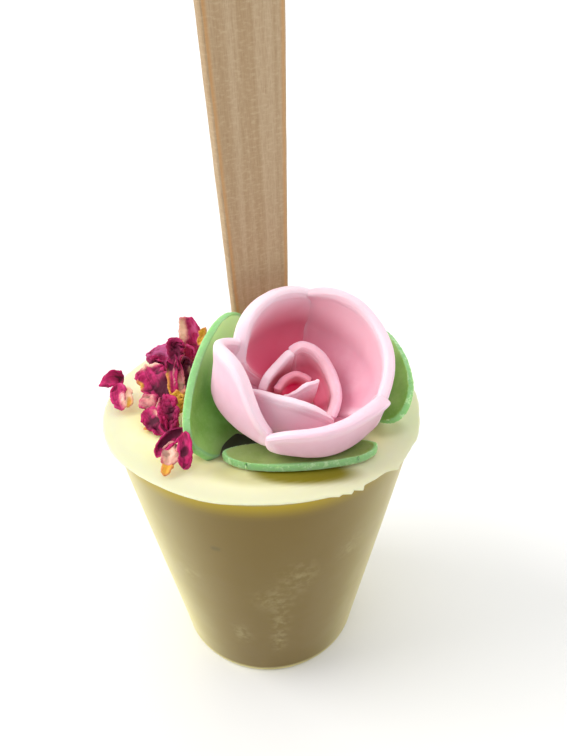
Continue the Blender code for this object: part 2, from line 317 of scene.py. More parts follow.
@dataclass(frozen=True)
class ChocolateFinish:
    """Cast white chocolate: a pale poured top, a whitish lip, and a smooth, deeper wall with some bloom;
    painted shade on the wall's front, a painted glow under the lip, and painted shadows on the top under the
    leaves and the rose.
    """

    top: Colour = paint(250, 246, 200)
    top_shade: Colour = paint(240, 233, 168)
    hollow: Colour = paint(130, 120, 26)
    lip: Colour = paint(206, 209, 182)
    glow: Colour = paint(186, 160, 0)
    wall: Colour = paint(226, 216, 152)
    wall_brown_and_shade: Colour = paint(110, 85, 0)
    bloom: Colour = paint(186, 174, 122)
    speck: Colour = paint(62, 64, 46)

    def material(self) -> bpy.types.Material:
        """Builds the material.

        Returns:
            The material.
        """
        graph = Graph("white chocolate")
        place = graph.position()
        # The wall: slow drifts, painted shade on its front in a deeper brown, a painted golden glow under
        # the lip on its front-left side, and clouds of bloom.
        drifts = graph.noise(graph.stretch(place, (1.0, 1.0, 0.35)), 45, detail=2)
        wall = graph.mix(graph.fit(drifts, 0.35, 0.75, 0.0, 0.3), self.wall, self.wall_brown_and_shade)
        wall = graph.mix(graph.mark(Mark.TINT), wall, self.wall_brown_and_shade)
        wall = graph.mix(graph.mark(Mark.GLOW), wall, self.glow)
        clouds = graph.fit(graph.noise(place, 760, detail=2), 0.36, 0.74)
        frost = graph.times(clouds, graph.mark(Mark.BLOOM))
        wall = graph.mix(frost, wall, self.bloom)
        # The poured top: pooled colour, the whiter lip, and painted shadows under the leaves.
        pooled = graph.fit(graph.noise(place, 110, detail=3), 0.3, 0.75)
        top = graph.mix(pooled, self.top, self.top_shade)
        top = graph.mix(graph.mark(Mark.LIP), top, self.lip)
        top = graph.mix(graph.mark(Mark.TINT), top, self.hollow)
        # Both together, with the speck on the wall and the darkest painted shadows under the rose in the
        # speck's colour.
        colour = graph.mix(graph.mark(Mark.TOP), wall, top)
        colour = graph.mix(graph.mark(Mark.CREASE), colour, self.speck)
        # The top is a little duller, and all of it has low relief.
        shine = graph.fit(graph.mark(Mark.TOP), 0.0, 1.0, 0.34, 0.44)
        rough = graph.add(shine, graph.fit(graph.noise(place, 160, detail=2), 0.3, 0.7, 0.0, 0.06))
        graph.bump(graph.noise(place, 900, detail=3), 0.01 * MM, 0.3)
        graph.bump(graph.noise(graph.stretch(place, (1.0, 1.0, 0.3)), 130, detail=1), 0.06 * MM, 0.3)
        return graph.finish(
            colour,
            rough,
            Subsurface_Weight=0.35,
            Subsurface_Radius=(1.0, 0.75, 0.22),
            Subsurface_Scale=2.2 * MM,
            Specular_IOR_Level=0.3,
        )


@dataclass(frozen=True)
class BirchFinish:
    """Plain sanded birch with fine grain along the stick."""

    light: Colour = paint(192, 168, 136)
    dark: Colour = paint(176, 149, 114)
    vessel: Colour = paint(146, 112, 78)
    fleck: Colour = paint(206, 185, 152)
    corner: Colour = paint(200, 146, 84)

    def material(self) -> bpy.types.Material:
        """Builds the material.

        Returns:
            The material.
        """
        graph = Graph("birch wood")
        across, along, side = (graph.mark(mark) for mark in (Mark.ACROSS, Mark.ALONG, Mark.SIDE))
        grain = graph.join(across, graph.times(along, 0.02), side)
        # Bands, fibres, pores and rays, all along the stick.
        bands = graph.noise(grain, 0.9, detail=3, distortion=0.4)
        colour = graph.mix(graph.fit(bands, 0.3, 0.72), self.light, self.dark)
        fibres = graph.noise(graph.stretch(grain, (1.0, 3.0, 1.0)), 9.0, detail=5, roughness=0.7)
        colour = graph.mix(graph.fit(fibres, 0.42, 0.72, 0.0, 0.45), colour, self.vessel)
        pores = graph.noise(graph.stretch(grain, (1.0, 9.0, 1.0)), 22.0, detail=2)
        colour = graph.mix(graph.fit(pores, 0.62, 0.74, 0.0, 0.35), colour, self.vessel)
        rays = graph.noise(graph.join(across, graph.times(along, 2.6), side), 1.1, detail=3)
        colour = graph.mix(graph.fit(rays, 0.45, 0.8, 0.0, 0.5), colour, self.fleck)
        rim = graph.mark(Mark.RIM)
        # Browner corners.
        burnt = graph.times(graph.fit(rim, 0.25, 0.5), graph.fit(rim, 1.1, 0.5))
        colour = graph.mix(graph.times(burnt, 0.6), colour, self.corner)
        graph.bump(fibres, 0.05 * MM, 0.7)
        graph.bump(pores, 0.03 * MM, 0.5)
        return graph.finish(colour, 0.72, Specular_IOR_Level=0.3)


@dataclass(frozen=True)
class PinkFinish:
    """Moulded pink wafer: nearly white at the rims and outside, rose pink inside and deep in the heart, with
    painted light on the rims and pale petals and painted shade low in the cup.
    """

    rim: Colour = paint(253, 226, 236)
    outside: Colour = paint(236, 192, 210)
    shade: Colour = paint(208, 160, 176)
    inside: Colour = paint(248, 210, 222)
    deep: Colour = paint(216, 142, 166)
    heart: Colour = paint(216, 0, 80)

    def material(self) -> bpy.types.Material:
        """Builds the material.

        Returns:
            The material.
        """
        graph = Graph("pink wafer")
        place = graph.position()
        along, tint, rim = (graph.mark(mark) for mark in (Mark.ALONG, Mark.TINT, Mark.RIM))
        # The two faces, deeper pink at the foot and in the heart, partly the wafer's colour and partly
        # painted shade; the outside has painted shade towards the foot.
        inner = graph.mix(graph.fit(along, 0.1, 0.9), self.deep, self.inside)
        inner = graph.mix(tint, inner, self.heart)
        outer = graph.mix(graph.fit(along, 0.2, 0.9), self.shade, self.outside)
        outer = graph.mix(graph.fit(tint, 0.2, 1.0), outer, self.heart)
        colour = graph.mix(graph.fit(graph.mark(Mark.SIDE), -0.4, 0.4), outer, inner)
        # Some of the rims' pale pink: in clouds, and as painted light all over the outside of pale petals.
        cloud = graph.noise(place, 320, detail=4)
        haze = graph.times(graph.fit(cloud, 0.3, 0.8, 0.0, 0.2), graph.fit(tint, 0.3, 0.0))
        pale = graph.times(graph.mark(Mark.GLOW), graph.fit(graph.mark(Mark.SIDE), 0.4, -0.4, 0.25))
        colour = graph.mix(graph.add(pale, haze), colour, self.rim)
        # The pale rims, partly the wafer's pale edge and partly painted light, which fade in the heart and
        # towards the foot.
        high = graph.fit(along, 0.15, 0.5)
        pale_rims_and_light = graph.times(graph.fit(tint, 0.0, 0.36, 0.9, 0.12), high)
        colour = graph.mix(graph.times(graph.fit(rim, 2.2, 0.7), pale_rims_and_light), colour, self.rim)
        # Pressed grooves across the rims, with paler streaks.
        across = graph.times(graph.mark(Mark.ACROSS), 0.12)
        lines = graph.noise(graph.join(graph.times(rim, 2.2), across, along), 1.6, detail=3)
        fading = graph.times(high, graph.fit(tint, 0.9, 0.5))
        near = graph.times(graph.fit(rim, 1.9, 0.9), fading)
        grooves = graph.times(lines, near)
        streaks = graph.times(graph.fit(lines, 0.5, 0.68, 0.0, 0.5), near)
        colour = graph.mix(streaks, colour, self.rim)
        graph.bump(grooves, 0.28 * MM, 0.8)
        graph.bump(graph.noise(place, 2200, detail=3), 0.015 * MM, 0.5)
        graph.bump(graph.noise(place, 420, detail=3), 0.08 * MM, 0.5)
        return graph.finish(
            colour,
            0.52,
            Subsurface_Weight=0.3,
            Subsurface_Radius=(1.0, 0.45, 0.5),
            Subsurface_Scale=0.9 * MM,
            Specular_IOR_Level=0.35,
        )


@dataclass(frozen=True)
class GreenFinish:
    """Moulded green wafer: olive green faces and a lighter mint edge with specks of powder, with painted
    light towards the far end and brownish painted shade on the face.
    """

    face: Colour = paint(162, 200, 116)
    face_dark: Colour = paint(116, 168, 66)
    tip: Colour = paint(214, 246, 190)
    edge: Colour = paint(140, 188, 130)
    powder: Colour = paint(206, 232, 186)
    painted_shade: Colour = paint(140, 120, 92)

    def material(self) -> bpy.types.Material:
        """Builds the material.

        Returns:
            The material.
        """
        graph = Graph("green wafer")
        place = graph.position()
        cloud = graph.fit(graph.noise(place, 160, detail=4), 0.3, 0.7)
        colour = graph.mix(cloud, self.face, self.face_dark)
        # Fine powder, the far end paler as painted light, and the brownish painted shade.
        grain = graph.noise(place, 2600, detail=3)
        colour = graph.mix(graph.fit(grain, 0.5, 0.8, 0.0, 0.12), colour, self.powder)
        colour = graph.mix(graph.mark(Mark.TINT), colour, self.tip)
        colour = graph.mix(graph.mark(Mark.CREASE), colour, self.painted_shade)
        rim = graph.mark(Mark.RIM)
        # The lighter edge, with crumbs along the rim.
        inside = graph.less(rim, graph.mark(Mark.GLOW))
        colour = graph.mix(graph.fit(inside, 0.22, -0.22), colour, self.edge)
        crumbs = graph.fit(graph.noise(place, 1100, detail=5, roughness=0.75), 0.52, 0.64)
        crumbly = graph.times(graph.mark(Mark.BLOOM), graph.fit(rim, 0.42, 0.1, 0.0, 0.7))
        crumbs = graph.times(crumbs, crumbly)
        colour = graph.mix(crumbs, colour, self.powder)
        graph.bump(grain, 0.02 * MM, 0.6)
        graph.bump(graph.noise(place, 380, detail=3), 0.08 * MM, 0.5)
        return graph.finish(
            colour,
            0.58,
            Subsurface_Weight=0.75,
            Subsurface_Radius=(0.65, 1.0, 0.35),
            Subsurface_Scale=2.4 * MM,
            Specular_IOR_Level=0.3,
        )


@dataclass(frozen=True)
class DriedFinish:
    """Dried rose petal: magenta, with purple painted shade in its creases and at its edge, lilac painted
    light on some folds, pink and golden at its foot.
    """

    petal: Colour = paint(172, 10, 82)
    bright: Colour = paint(204, 44, 114)
    lilac: Colour = paint(226, 116, 176)
    purple: Colour = paint(70, 2, 34)
    cream: Colour = paint(255, 208, 182)
    gold: Colour = paint(228, 170, 64)

    def material(self) -> bpy.types.Material:
        """Builds the material.

        Returns:
            The material.
        """
        graph = Graph("dried petal")
        place = graph.position()
        across, along = graph.mark(Mark.ACROSS), graph.mark(Mark.ALONG)
        cloud = graph.noise(place, 420, detail=5, roughness=0.65)
        colour = graph.mix(graph.fit(cloud, 0.35, 0.68), self.petal, self.bright)
        lengthwise = graph.join(across, graph.times(along, 0.12), 0.0)
        veins = graph.noise(lengthwise, 3.2, detail=3, distortion=0.6)
        colour = graph.mix(graph.fit(veins, 0.53, 0.62, 0.0, 0.35), colour, self.purple)
        # Lilac painted light and purple painted shade on the folds and spots, then the cream and the golden
        # spots with uneven edges.
        shade = graph.mark(Mark.CREASE)
        colour = graph.mix(graph.fit(shade, -0.05, -0.85, 0.0, 0.9), colour, self.lilac)
        colour = graph.mix(graph.fit(shade, 0.1, 0.9, 0.0, 0.85), colour, self.purple)
        uneven = graph.fit(cloud, 0.3, 0.7, -0.15, 0.15)
        patch = graph.add(graph.mark(Mark.TINT), uneven)
        colour = graph.mix(graph.fit(patch, 0.15, 0.85), colour, self.cream)
        foot = graph.add(graph.mark(Mark.GLOW), uneven)
        colour = graph.mix(graph.fit(foot, 0.2, 0.8), colour, self.gold)
        # A brighter edge, and the painted shade of the deepest folds over all.
        colour = graph.mix(graph.fit(graph.mark(Mark.RIM), 0.35, 0.05, 0.0, 0.3), colour, self.bright)
        colour = graph.mix(graph.fit(shade, 0.45, 1.0, 0.0, 0.5), colour, self.purple)
        graph.bump(veins, 0.05 * MM, 0.7)
        graph.bump(graph.noise(place, 1700, detail=4), 0.04 * MM, 0.7)
        return graph.finish(
            colour,
            0.6,
            Subsurface_Weight=0.12,
            Subsurface_Radius=(1.0, 0.3, 0.4),
            Subsurface_Scale=0.5 * MM,
            Specular_IOR_Level=0.22,
        )


@dataclass(frozen=True)
class FloorFinish:
    """Plain pale studio floor."""

    pale: Colour = paint(232, 232, 231)
    grey: Colour = paint(226, 226, 225)

    def material(self) -> bpy.types.Material:
        """Builds the material.

        Returns:
            The material.
        """
        graph = Graph("pale floor")
        mottle = graph.fit(graph.noise(graph.position(), 6, detail=2), 0.3, 0.7, 0.0, 0.1)
        colour = graph.mix(mottle, self.pale, self.grey)
        return graph.finish(colour, 0.9, Specular_IOR_Level=0.1)


def keep(
    mesh: bmesh.types.BMesh, name: str, material: bpy.types.Material, nodes: Sequence[str]
) -> bpy.types.Object:
    """Makes a finished mesh a piece of the object.

    Args:
        mesh: The mesh, in place. It is freed.
        name: The piece's name.
        material: Its finish.
        nodes: The plain solids that it replaces.

    Returns:
        The piece.
    """
    data = bpy.data.meshes.new(name)
    mesh.to_mesh(data)
    mesh.free()
    data.materials.append(material)
    data.shade_smooth()
    piece = bpy.data.objects.new(name, data)
    bpy.context.scene.collection.objects.link(piece)
    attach(piece, BODY)
    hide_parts(*nodes)
    log.info("%s: %d faces for %s", name, len(data.polygons), ", ".join(nodes))
    return piece


def layer(mesh: bmesh.types.BMesh, mark: Mark) -> bmesh.types.BMLayerItem:
    """The mesh's layer for a mark, made if there is none."""
    layers = mesh.verts.layers.float
    return layers.get(mark.value) or layers.new(mark.value)


Layers = dict[Mark, bmesh.types.BMLayerItem]
Cells = dict[tuple[int, int], tuple[bmesh.types.BMVert, float, float]]


@dataclass
class Shell:
    """A thin closed sheet: a middle surface whose thickness rounds off at its rim.

    Attributes:
        columns: Cells across.
        rows: Cells along.
        place: The middle surface's point for u from -1 to 1 across and v from 0 to 1 along.
        thickness: The thickness near the rim.
        web: The thickness well inside the rim.
        rounding: How far in from the rim the full thickness is reached.
        squareness: 2 for a round rim, more for a squarer one.
        paint: Further marks for u and v.
        swell: How many times the usual thickness the sheet has at u and v.
        web_reach: How many roundings in from the rim the web is reached.
        thin_share: The share of the thickness under which the sheet counts as having no rim.
        no_rim: The distance from the rim, in millimetres, that is marked per unit under that share.
    """

    columns: int
    rows: int
    place: Callable[[float, float], Vector]
    thickness: float
    web: float
    rounding: float
    squareness: float = 2.6
    paint: Callable[[float, float], dict[Mark, float]] | None = None
    swell: Callable[[float, float], float] | None = None
    web_reach: float = 5.0
    thin_share: float = 0.6
    no_rim: float = 5.3

    def build(self) -> bmesh.types.BMesh:
        """Builds the sheet.

        Returns:
            The mesh, closed and facing out, with its marks.
        """
        mesh = bmesh.new()
        bmesh.ops.create_grid(mesh, x_segments=self.columns, y_segments=self.rows, size=1.0)
        layers = {mark: layer(mesh, mark) for mark in Mark}
        cells = self.lay_out(mesh, layers)
        self.mark_distances(cells, layers)
        mesh.normal_update()
        self.thicken(mesh, cells, layers)
        bmesh.ops.remove_doubles(mesh, verts=mesh.verts, dist=WELD)
        return mesh

    def lay_out(self, mesh: bmesh.types.BMesh, layers: Layers) -> Cells:
        """Lays a flat grid out on the middle surface, with narrower cells near the rim.

        Args:
            mesh: The grid, from -1 to 1 each way.
            layers: Its layers.

        Returns:
            The points by column and row, each with its u and v.
        """
        cells = {}
        for vert in mesh.verts:
            column = round((vert.co.x + 1) / 2 * self.columns)
            row = round((vert.co.y + 1) / 2 * self.rows)
            u = math.sin(vert.co.x * math.pi / 2)
            v = (math.sin(vert.co.y * math.pi / 2) + 1) / 2
            cells[column, row] = (vert, u, v)
            vert.co = self.place(u, v)
            vert[layers[Mark.ALONG]] = v
            for mark, value in (self.paint(u, v) if self.paint else {}).items():
                vert[layers[mark]] = value
        return cells

    def mark_distances(self, cells: Cells, layers: Layers) -> None:
        """Marks each point with its distances, in millimetres, from the middle line and from the rim.

        Args:
            cells: The points by column and row.
            layers: The mesh's layers.
        """
        for (column, row), (vert, u, _) in cells.items():
            left, right = cells[0, row][0], cells[self.columns, row][0]
            foot, tip = cells[column, 0][0], cells[column, self.rows][0]
            distances = [(vert.co - end.co).length for end in (left, right, foot, tip)]
            vert[layers[Mark.RIM]] = min(distances) / MM
            vert[layers[Mark.ACROSS]] = u * (left.co - right.co).length / 2 / MM

    def half(self, distance: float) -> float:
        """Half the thickness at this distance from the rim.

        Args:
            distance: The distance, in metres.

        Returns:
            Half the thickness, in metres.
        """
        short = 1 - min(1.0, distance / self.rounding)
        inside = smooth(self.web_reach * self.rounding, self.rounding, distance)
        thick = self.web + (self.thickness - self.web) * inside
        return thick / 2 * (1 - short**self.squareness) ** (1 / self.squareness)

    def thicken(self, mesh: bmesh.types.BMesh, cells: Cells, layers: Layers) -> None:
        """Turns the middle surface into two faces that meet at the rim.

        Args:
            mesh: The middle surface.
            cells: Its points by column and row.
            layers: Its layers.
        """
        rim, side = layers[Mark.RIM], layers[Mark.SIDE]
        offsets = {}
        for vert, u, v in cells.values():
            times = self.swell(u, v) if self.swell else 1.0
            offsets[vert] = vert.normal * self.half(vert[rim] * MM) * times
            vert[rim] = max(vert[rim], self.no_rim * max(0.0, self.thin_share - times))
            vert[side] = 1.0
        twin = bmesh.ops.duplicate(mesh, geom=mesh.verts[:] + mesh.edges[:] + mesh.faces[:])
        faces = [face for face in twin["geom"] if isinstance(face, bmesh.types.BMFace)]
        bmesh.ops.reverse_faces(mesh, faces=faces)
        for vert, offset in offsets.items():
            other = twin["vert_map"][vert]
            other.co = vert.co - offset
            other[side] = -1.0
            vert.co = vert.co + offset


@dataclass(frozen=True)
class Ripple:
    """Low smooth unevenness: its height and the size of its lumps."""

    height: float
    size: float

    def at(self, point: Vector) -> float:
        """How high the surface stands at the point."""
        return self.height * wander(point, self.size)


@dataclass(frozen=True)
class Bump:
    """A low swelling of the chocolate's top, where something was pressed into it while it was soft.

    Attributes:
        x, y: Its centre.
        wide: Its half width.
        deep: Its half depth.
        turn: How far its width is turned, in radians.
        height: How high it rises.
        fade: Where it has died out and where it is full, in half sizes.
    """

    x: float
    y: float
    wide: float
    deep: float
    turn: float
    height: float
    fade: Pair = (1.35, 0.8)

    def rise(self, x: float, y: float) -> float:
        """The swelling's height at a place on the top.

        Args:
            x, y: The place.

        Returns:
            The height, in metres.
        """
        dx, dy = x - self.x, y - self.y
        cos, sin = math.cos(self.turn), math.sin(self.turn)
        far = math.hypot((dx * cos + dy * sin) / self.wide, (dy * cos - dx * sin) / self.deep)
        return self.height * smooth(*self.fade, far)


@dataclass(frozen=True)
class Shade:
    """A soft-edged spot of painted shadow on the top, where little light gets in.

    Attributes:
        x, y: Its centre.
        wide, deep: Its half sizes.
        strength: Its strength in the middle.
        fade: Where it has died out and where it is full, in half sizes.
    """

    x: float
    y: float
    wide: float
    deep: float
    strength: float
    fade: Pair = (1.3, 0.7)

    def share(self, x: float, y: float) -> float:
        """How strong it is at x, y."""
        far = math.hypot((x - self.x) / self.wide, (y - self.y) / self.deep)
        return self.strength * smooth(*self.fade, far)


@dataclass(frozen=True)
class Frost:
    """A patch of fat bloom on the wall: its angle round the block, its height, and its half sizes."""

    angle: float
    height: float
    wide: float
    tall: float
    strength: float

    def share(self, angle: float, height: float) -> float:
        """How strong the patch is at this place."""
        far = math.hypot((angle - self.angle) / self.wide, (height - self.height) / self.tall)
        return self.strength * math.exp(-far * far)


@dataclass(frozen=True)
class Speck:
    """A dark speck in the wall.

    Attributes:
        angle: Its angle round the block.
        height: Its height.
        stretch: How many times as wide as tall it is.
        fade: The distances from its middle where it has died out and where it is full.
        strength: Its strength in the middle.
    """

    angle: float
    height: float
    stretch: float
    fade: Pair
    strength: float

    def share(self, angle: float, radius: float, height: float) -> float:
        """How strong it is at this place on the wall."""
        far = math.hypot((angle - self.angle) * radius / self.stretch, height - self.height)
        return self.strength * smooth(*self.fade, far)


@dataclass(frozen=True)
class Band:
    """A colour that is strongest on one side of the wall and fades round it.

    Attributes:
        angle: The side.
        rest: How strong it is on the far side.
        gain: How much stronger it is on its own side.
        fade: The cosines of the angle away from it where the gain starts and where it is full.
    """

    angle: float
    rest: float
    gain: float
    fade: Pair

    def share(self, angle: float) -> float:
        """How strong it is at this angle round the block."""
        return self.rest + self.gain * smooth(*self.fade, math.cos(angle - self.angle))


@dataclass(frozen=True)
class Stick:
    """The flat birch stick, a little wider at its upper end, with rounded ends.

    Attributes:
        length, thickness: Its sizes.
        width_low, width_high: Its widths at its lower and its upper end.
        sunk: How much of it is in the chocolate.
        x, y: Where its middle line comes out of the chocolate.
        turn: How far its flat side is turned from the front.
        lean_side, lean_front: How far it leans to the right and to the back.
        edge: How far in its edges are rounded.
        fray: The unevenness of its sides.
        fray_power: How strongly that keeps to its sides.
        columns, rows: Its cells.
        squareness: How square its edges are left.
    """

    length: float = 114.0 * MM
    thickness: float = 2.0 * MM
    width_low: float = 8.2 * MM
    width_high: float = 11.9 * MM
    sunk: float = 38.0 * MM
    x: float = -0.3 * MM
    y: float = 9.5 * MM
    turn: float = math.radians(26.5)
    lean_side: float = math.radians(-1.2)
    lean_front: float = math.radians(-10)
    edge: float = 0.32 * MM
    fray: Ripple = Ripple(0.04 * MM, 3 * MM)
    fray_power: int = 8
    columns: int = 40
    rows: int = 150
    squareness: float = 2.2

    def width_at(self, height: float) -> float:
        """The stick's width at this height above its lower end, without its rounded ends."""
        return self.width_low + (self.width_high - self.width_low) * height / self.length

    def gap_to(self, x: float, y: float) -> float:
        """How far a place on the chocolate's top is from the stick.

        Args:
            x, y: The place.

        Returns:
            The distance, 0 inside the stick.
        """
        cos, sin = math.cos(self.turn), math.sin(self.turn)
        dx, dy = x - self.x, y - self.y
        across, through_it = dx * cos + dy * sin, dy * cos - dx * sin
        beside = max(0.0, abs(across) - self.width_at(self.sunk) / 2)
        before = max(0.0, abs(through_it) - self.thickness / 2)
        return math.hypot(beside, before)

    def pose(self) -> Matrix:
        """Where the stick stands.

        Returns:
            Its own frame: X is across it, and Z is up it from the middle of its lower end.
        """
        up = Vector((math.tan(self.lean_side), math.tan(self.lean_front), 1.0)).normalized()
        across = Vector((math.cos(self.turn), math.sin(self.turn), 0.0))
        across = (across - up * across.dot(up)).normalized()
        pose = Matrix((across, up.cross(across), up)).transposed().to_4x4()
        pose.translation = Vector((self.x, self.y, BLOCK_HEIGHT)) - up * self.sunk
        return pose

    def place(self, u: float, v: float) -> Vector:
        """A point of the stick's middle plane, in its own frame.

        Args:
            u: From -1 to 1 across it.
            v: From 0 at its lower end to 1 at its upper end.

        Returns:
            The point, in metres.
        """
        height = v * self.length
        half = self.width_at(height) / 2
        for radius, end in ((self.width_low / 2, height), (self.width_high / 2, self.length - height)):
            if end < radius:
                half = min(half, math.sqrt(max(0.0, radius * radius - (radius - end) ** 2)))
        fray = self.fray.at(Vector((u * 2 * MM, 0, height))) * abs(u) ** self.fray_power
        return Vector((u * (half - self.fray.height) + fray, 0.0, height))

    def build(self, finish: BirchFinish) -> bpy.types.Object:
        """Builds the stick.

        Args:
            finish: Its wood.

        Returns:
            The piece.
        """
        thick = self.thickness
        shell = Shell(self.columns, self.rows, self.place, thick, thick, self.edge, self.squareness)
        mesh = shell.build()
        along = layer(mesh, Mark.ALONG)
        for vert in mesh.verts:
            vert[along] = vert.co.z / MM
        mesh.transform(self.pose())
        return keep(mesh, "birch_stick", finish.material(), ["wooden_stick"])


@dataclass(frozen=True)
class ChocolateBlock:
    """The cast block: a frustum with a thin ragged lip and a poured top.

    Attributes:
        stick: The stick that is cast into it.
        foot_radius, wall_top_radius, lip_radius: Its radii.
        foot_rounding: How far its foot's edge is rounded.
        lip_thickness, lip_rounding, lip_rise: The lip's sizes, and how far its underside rises outwards.
        lip_line: The lip's edge: angles round the block in degrees, and how far out it is there.
        lip_ripple: The unevenness of the lip's edge, for its angle in radians.
        lip_blend: The radii between which the edge's unevenness sets in.
        lip_flat: The radii between which the top's unevenness dies out.
        lip_white, lip_whiten: The radii between which the lip gets whiter, and how white it gets.
        steps: Cells round the block.
        foot_rings, wall_rings, lip_rings, under_rings, top_rings: Rings of cells on each part.
        meniscus, meniscus_reach: How high the chocolate stands round the stick, and how far from it.
        bumps: Where the top swells.
        top_skin: How far below the top's level its points lie at most.
        top_ripples: The unevenness of the top.
        sag, sag_between: How far the top sinks towards the lip, and between which radii.
        painted_leaf_shadows: Where the top is in shadow under a leaf.
        painted_rose_shadows: Where hardly any light gets in under the rose.
        wall_ripple, wall_inset: The unevenness of the wall, and how far it is set in to allow for it.
        wall_stretch: How much shorter than tall that unevenness is taken to be.
        golden, golden_fade: The painted golden glow in the lip's shade, a deeper yellow, and where it starts
            and is full below it.
        brown: The painted shade, a deeper brownish colour, on the wall's shaded front.
        frosts: The patches of bloom.
        speck: The speck in the wall.
    """

    stick: Stick
    foot_radius: float = 16.9 * MM
    wall_top_radius: float = 25.0 * MM
    lip_radius: float = 25.8 * MM
    foot_rounding: float = 0.9 * MM
    lip_thickness: float = 0.6 * MM
    lip_rounding: float = 0.25 * MM
    lip_rise: float = 0.09 * MM
    lip_line: tuple[Pair, ...] = (
        (-180.0, 25.8), (-155.0, 26.0), (-145.0, 26.05), (-138.0, 25.9), (-132.0, 25.75), (-122.0, 25.6),
        (-104.0, 25.75), (-93.0, 25.45), (-86.0, 25.45), (-78.0, 25.6), (-69.5, 25.7), (-66.5, 26.2),
        (-65.6, 25.9), (-62.6, 26.5), (-61.8, 25.85), (-59.2, 26.6), (-57.6, 25.85), (-52.5, 25.8),
        (-48.5, 25.75), (-46.4, 26.1), (-44.6, 26.6), (-42.5, 26.2), (-39.0, 26.05), (-32.0, 25.7),
        (-27.5, 25.8), (-21.6, 25.5), (-12.0, 25.15), (0.0, 25.3), (25.0, 25.7), (60.0, 25.9),
        (100.0, 25.6), (140.0, 25.9), (180.0, 25.8),
    )
    lip_ripple: Ripple = Ripple(0.05 * MM, 0.05)
    lip_blend: Pair = (24.4 * MM, 25.8 * MM)
    lip_flat: Pair = (23.6 * MM, 25.3 * MM)
    lip_white: Pair = (19.0 * MM, 25.6 * MM)
    lip_whiten: float = 0.85
    steps: int = 480
    foot_rings: int = 8
    wall_rings: int = 60
    under_rings: int = 3
    lip_rings: int = 8
    top_rings: int = 52
    meniscus: float = 0.55 * MM
    meniscus_reach: float = 0.7 * MM
    bumps: tuple[Bump, ...] = (
        Bump(5.4 * MM, -17.1 * MM, 8.6 * MM, 3.0 * MM, 0.12, 0.34 * MM),
        Bump(4.5 * MM, -7.2 * MM, 6.0 * MM, 6.0 * MM, 0.0, 0.5 * MM),
        Bump(-5.2 * MM, -8.4 * MM, 2.2 * MM, 6.5 * MM, -0.2, 0.5 * MM),
        Bump(16.2 * MM, -1.6 * MM, 2.4 * MM, 7.5 * MM, 0.2, 0.5 * MM),
    )
    top_skin: float = 0.2 * MM
    top_ripples: tuple[Ripple, ...] = (Ripple(0.05 * MM, 6 * MM), Ripple(0.015 * MM, 1.5 * MM))
    sag: float = 0.12 * MM
    sag_between: Pair = (14.0 * MM, 25.5 * MM)
    painted_leaf_shadows: tuple[Shade, ...] = (
        Shade(5.6 * MM, -19.7 * MM, 7.4 * MM, 2.2 * MM, 1.0),
        Shade(0.5 * MM, -19.4 * MM, 7.0 * MM, 2.6 * MM, 0.4),
        Shade(17.5 * MM, -9.0 * MM, 4.0 * MM, 2.6 * MM, 0.35),
        Shade(-6.5 * MM, -15.8 * MM, 3.0 * MM, 1.2 * MM, 0.5),
    )
    painted_rose_shadows: tuple[Shade, ...] = (
        Shade(-2.0 * MM, -13.4 * MM, 6.5 * MM, 3.4 * MM, 1.0),
        Shade(6.0 * MM, -13.0 * MM, 9.0 * MM, 4.0 * MM, 0.8),
    )
    wall_ripple: Ripple = Ripple(0.05 * MM, 7 * MM)
    wall_inset: float = 0.03 * MM
    wall_stretch: float = 0.35
    golden: Band = Band(math.radians(-112), 0.2, 0.75, (0.3, 0.95))
    golden_fade: Pair = (3.8 * MM, 0.2 * MM)
    brown: Band = Band(math.radians(-86), 0.1, 0.84, (0.45, 1.0))
    frosts: tuple[Frost, ...] = (
        Frost(math.radians(-76), 30.5 * MM, 0.12, 3.4 * MM, 0.34),
        Frost(math.radians(-86), 25.0 * MM, 0.14, 2.6 * MM, 0.34),
        Frost(math.radians(-83), 19.0 * MM, 0.07, 3.4 * MM, 0.34),
        Frost(math.radians(-83.5), 12.0 * MM, 0.06, 3.6 * MM, 0.45),
        Frost(math.radians(-103), 13.5 * MM, 0.08, 2.4 * MM, 0.4),
        Frost(math.radians(-53), 33.5 * MM, 0.08, 2.4 * MM, 0.4),
        Frost(math.radians(-124.5), 28.0 * MM, 0.10, 1.8 * MM, 0.4),
        Frost(math.radians(60), 30.0 * MM, 0.5, 6.0 * MM, 0.2),
        Frost(math.radians(140), 16.0 * MM, 0.4, 5.0 * MM, 0.22),
    )
    speck: Speck = Speck(math.radians(-107), 37.6 * MM, 2.2, (0.5 * MM, 0.15 * MM), 0.35)

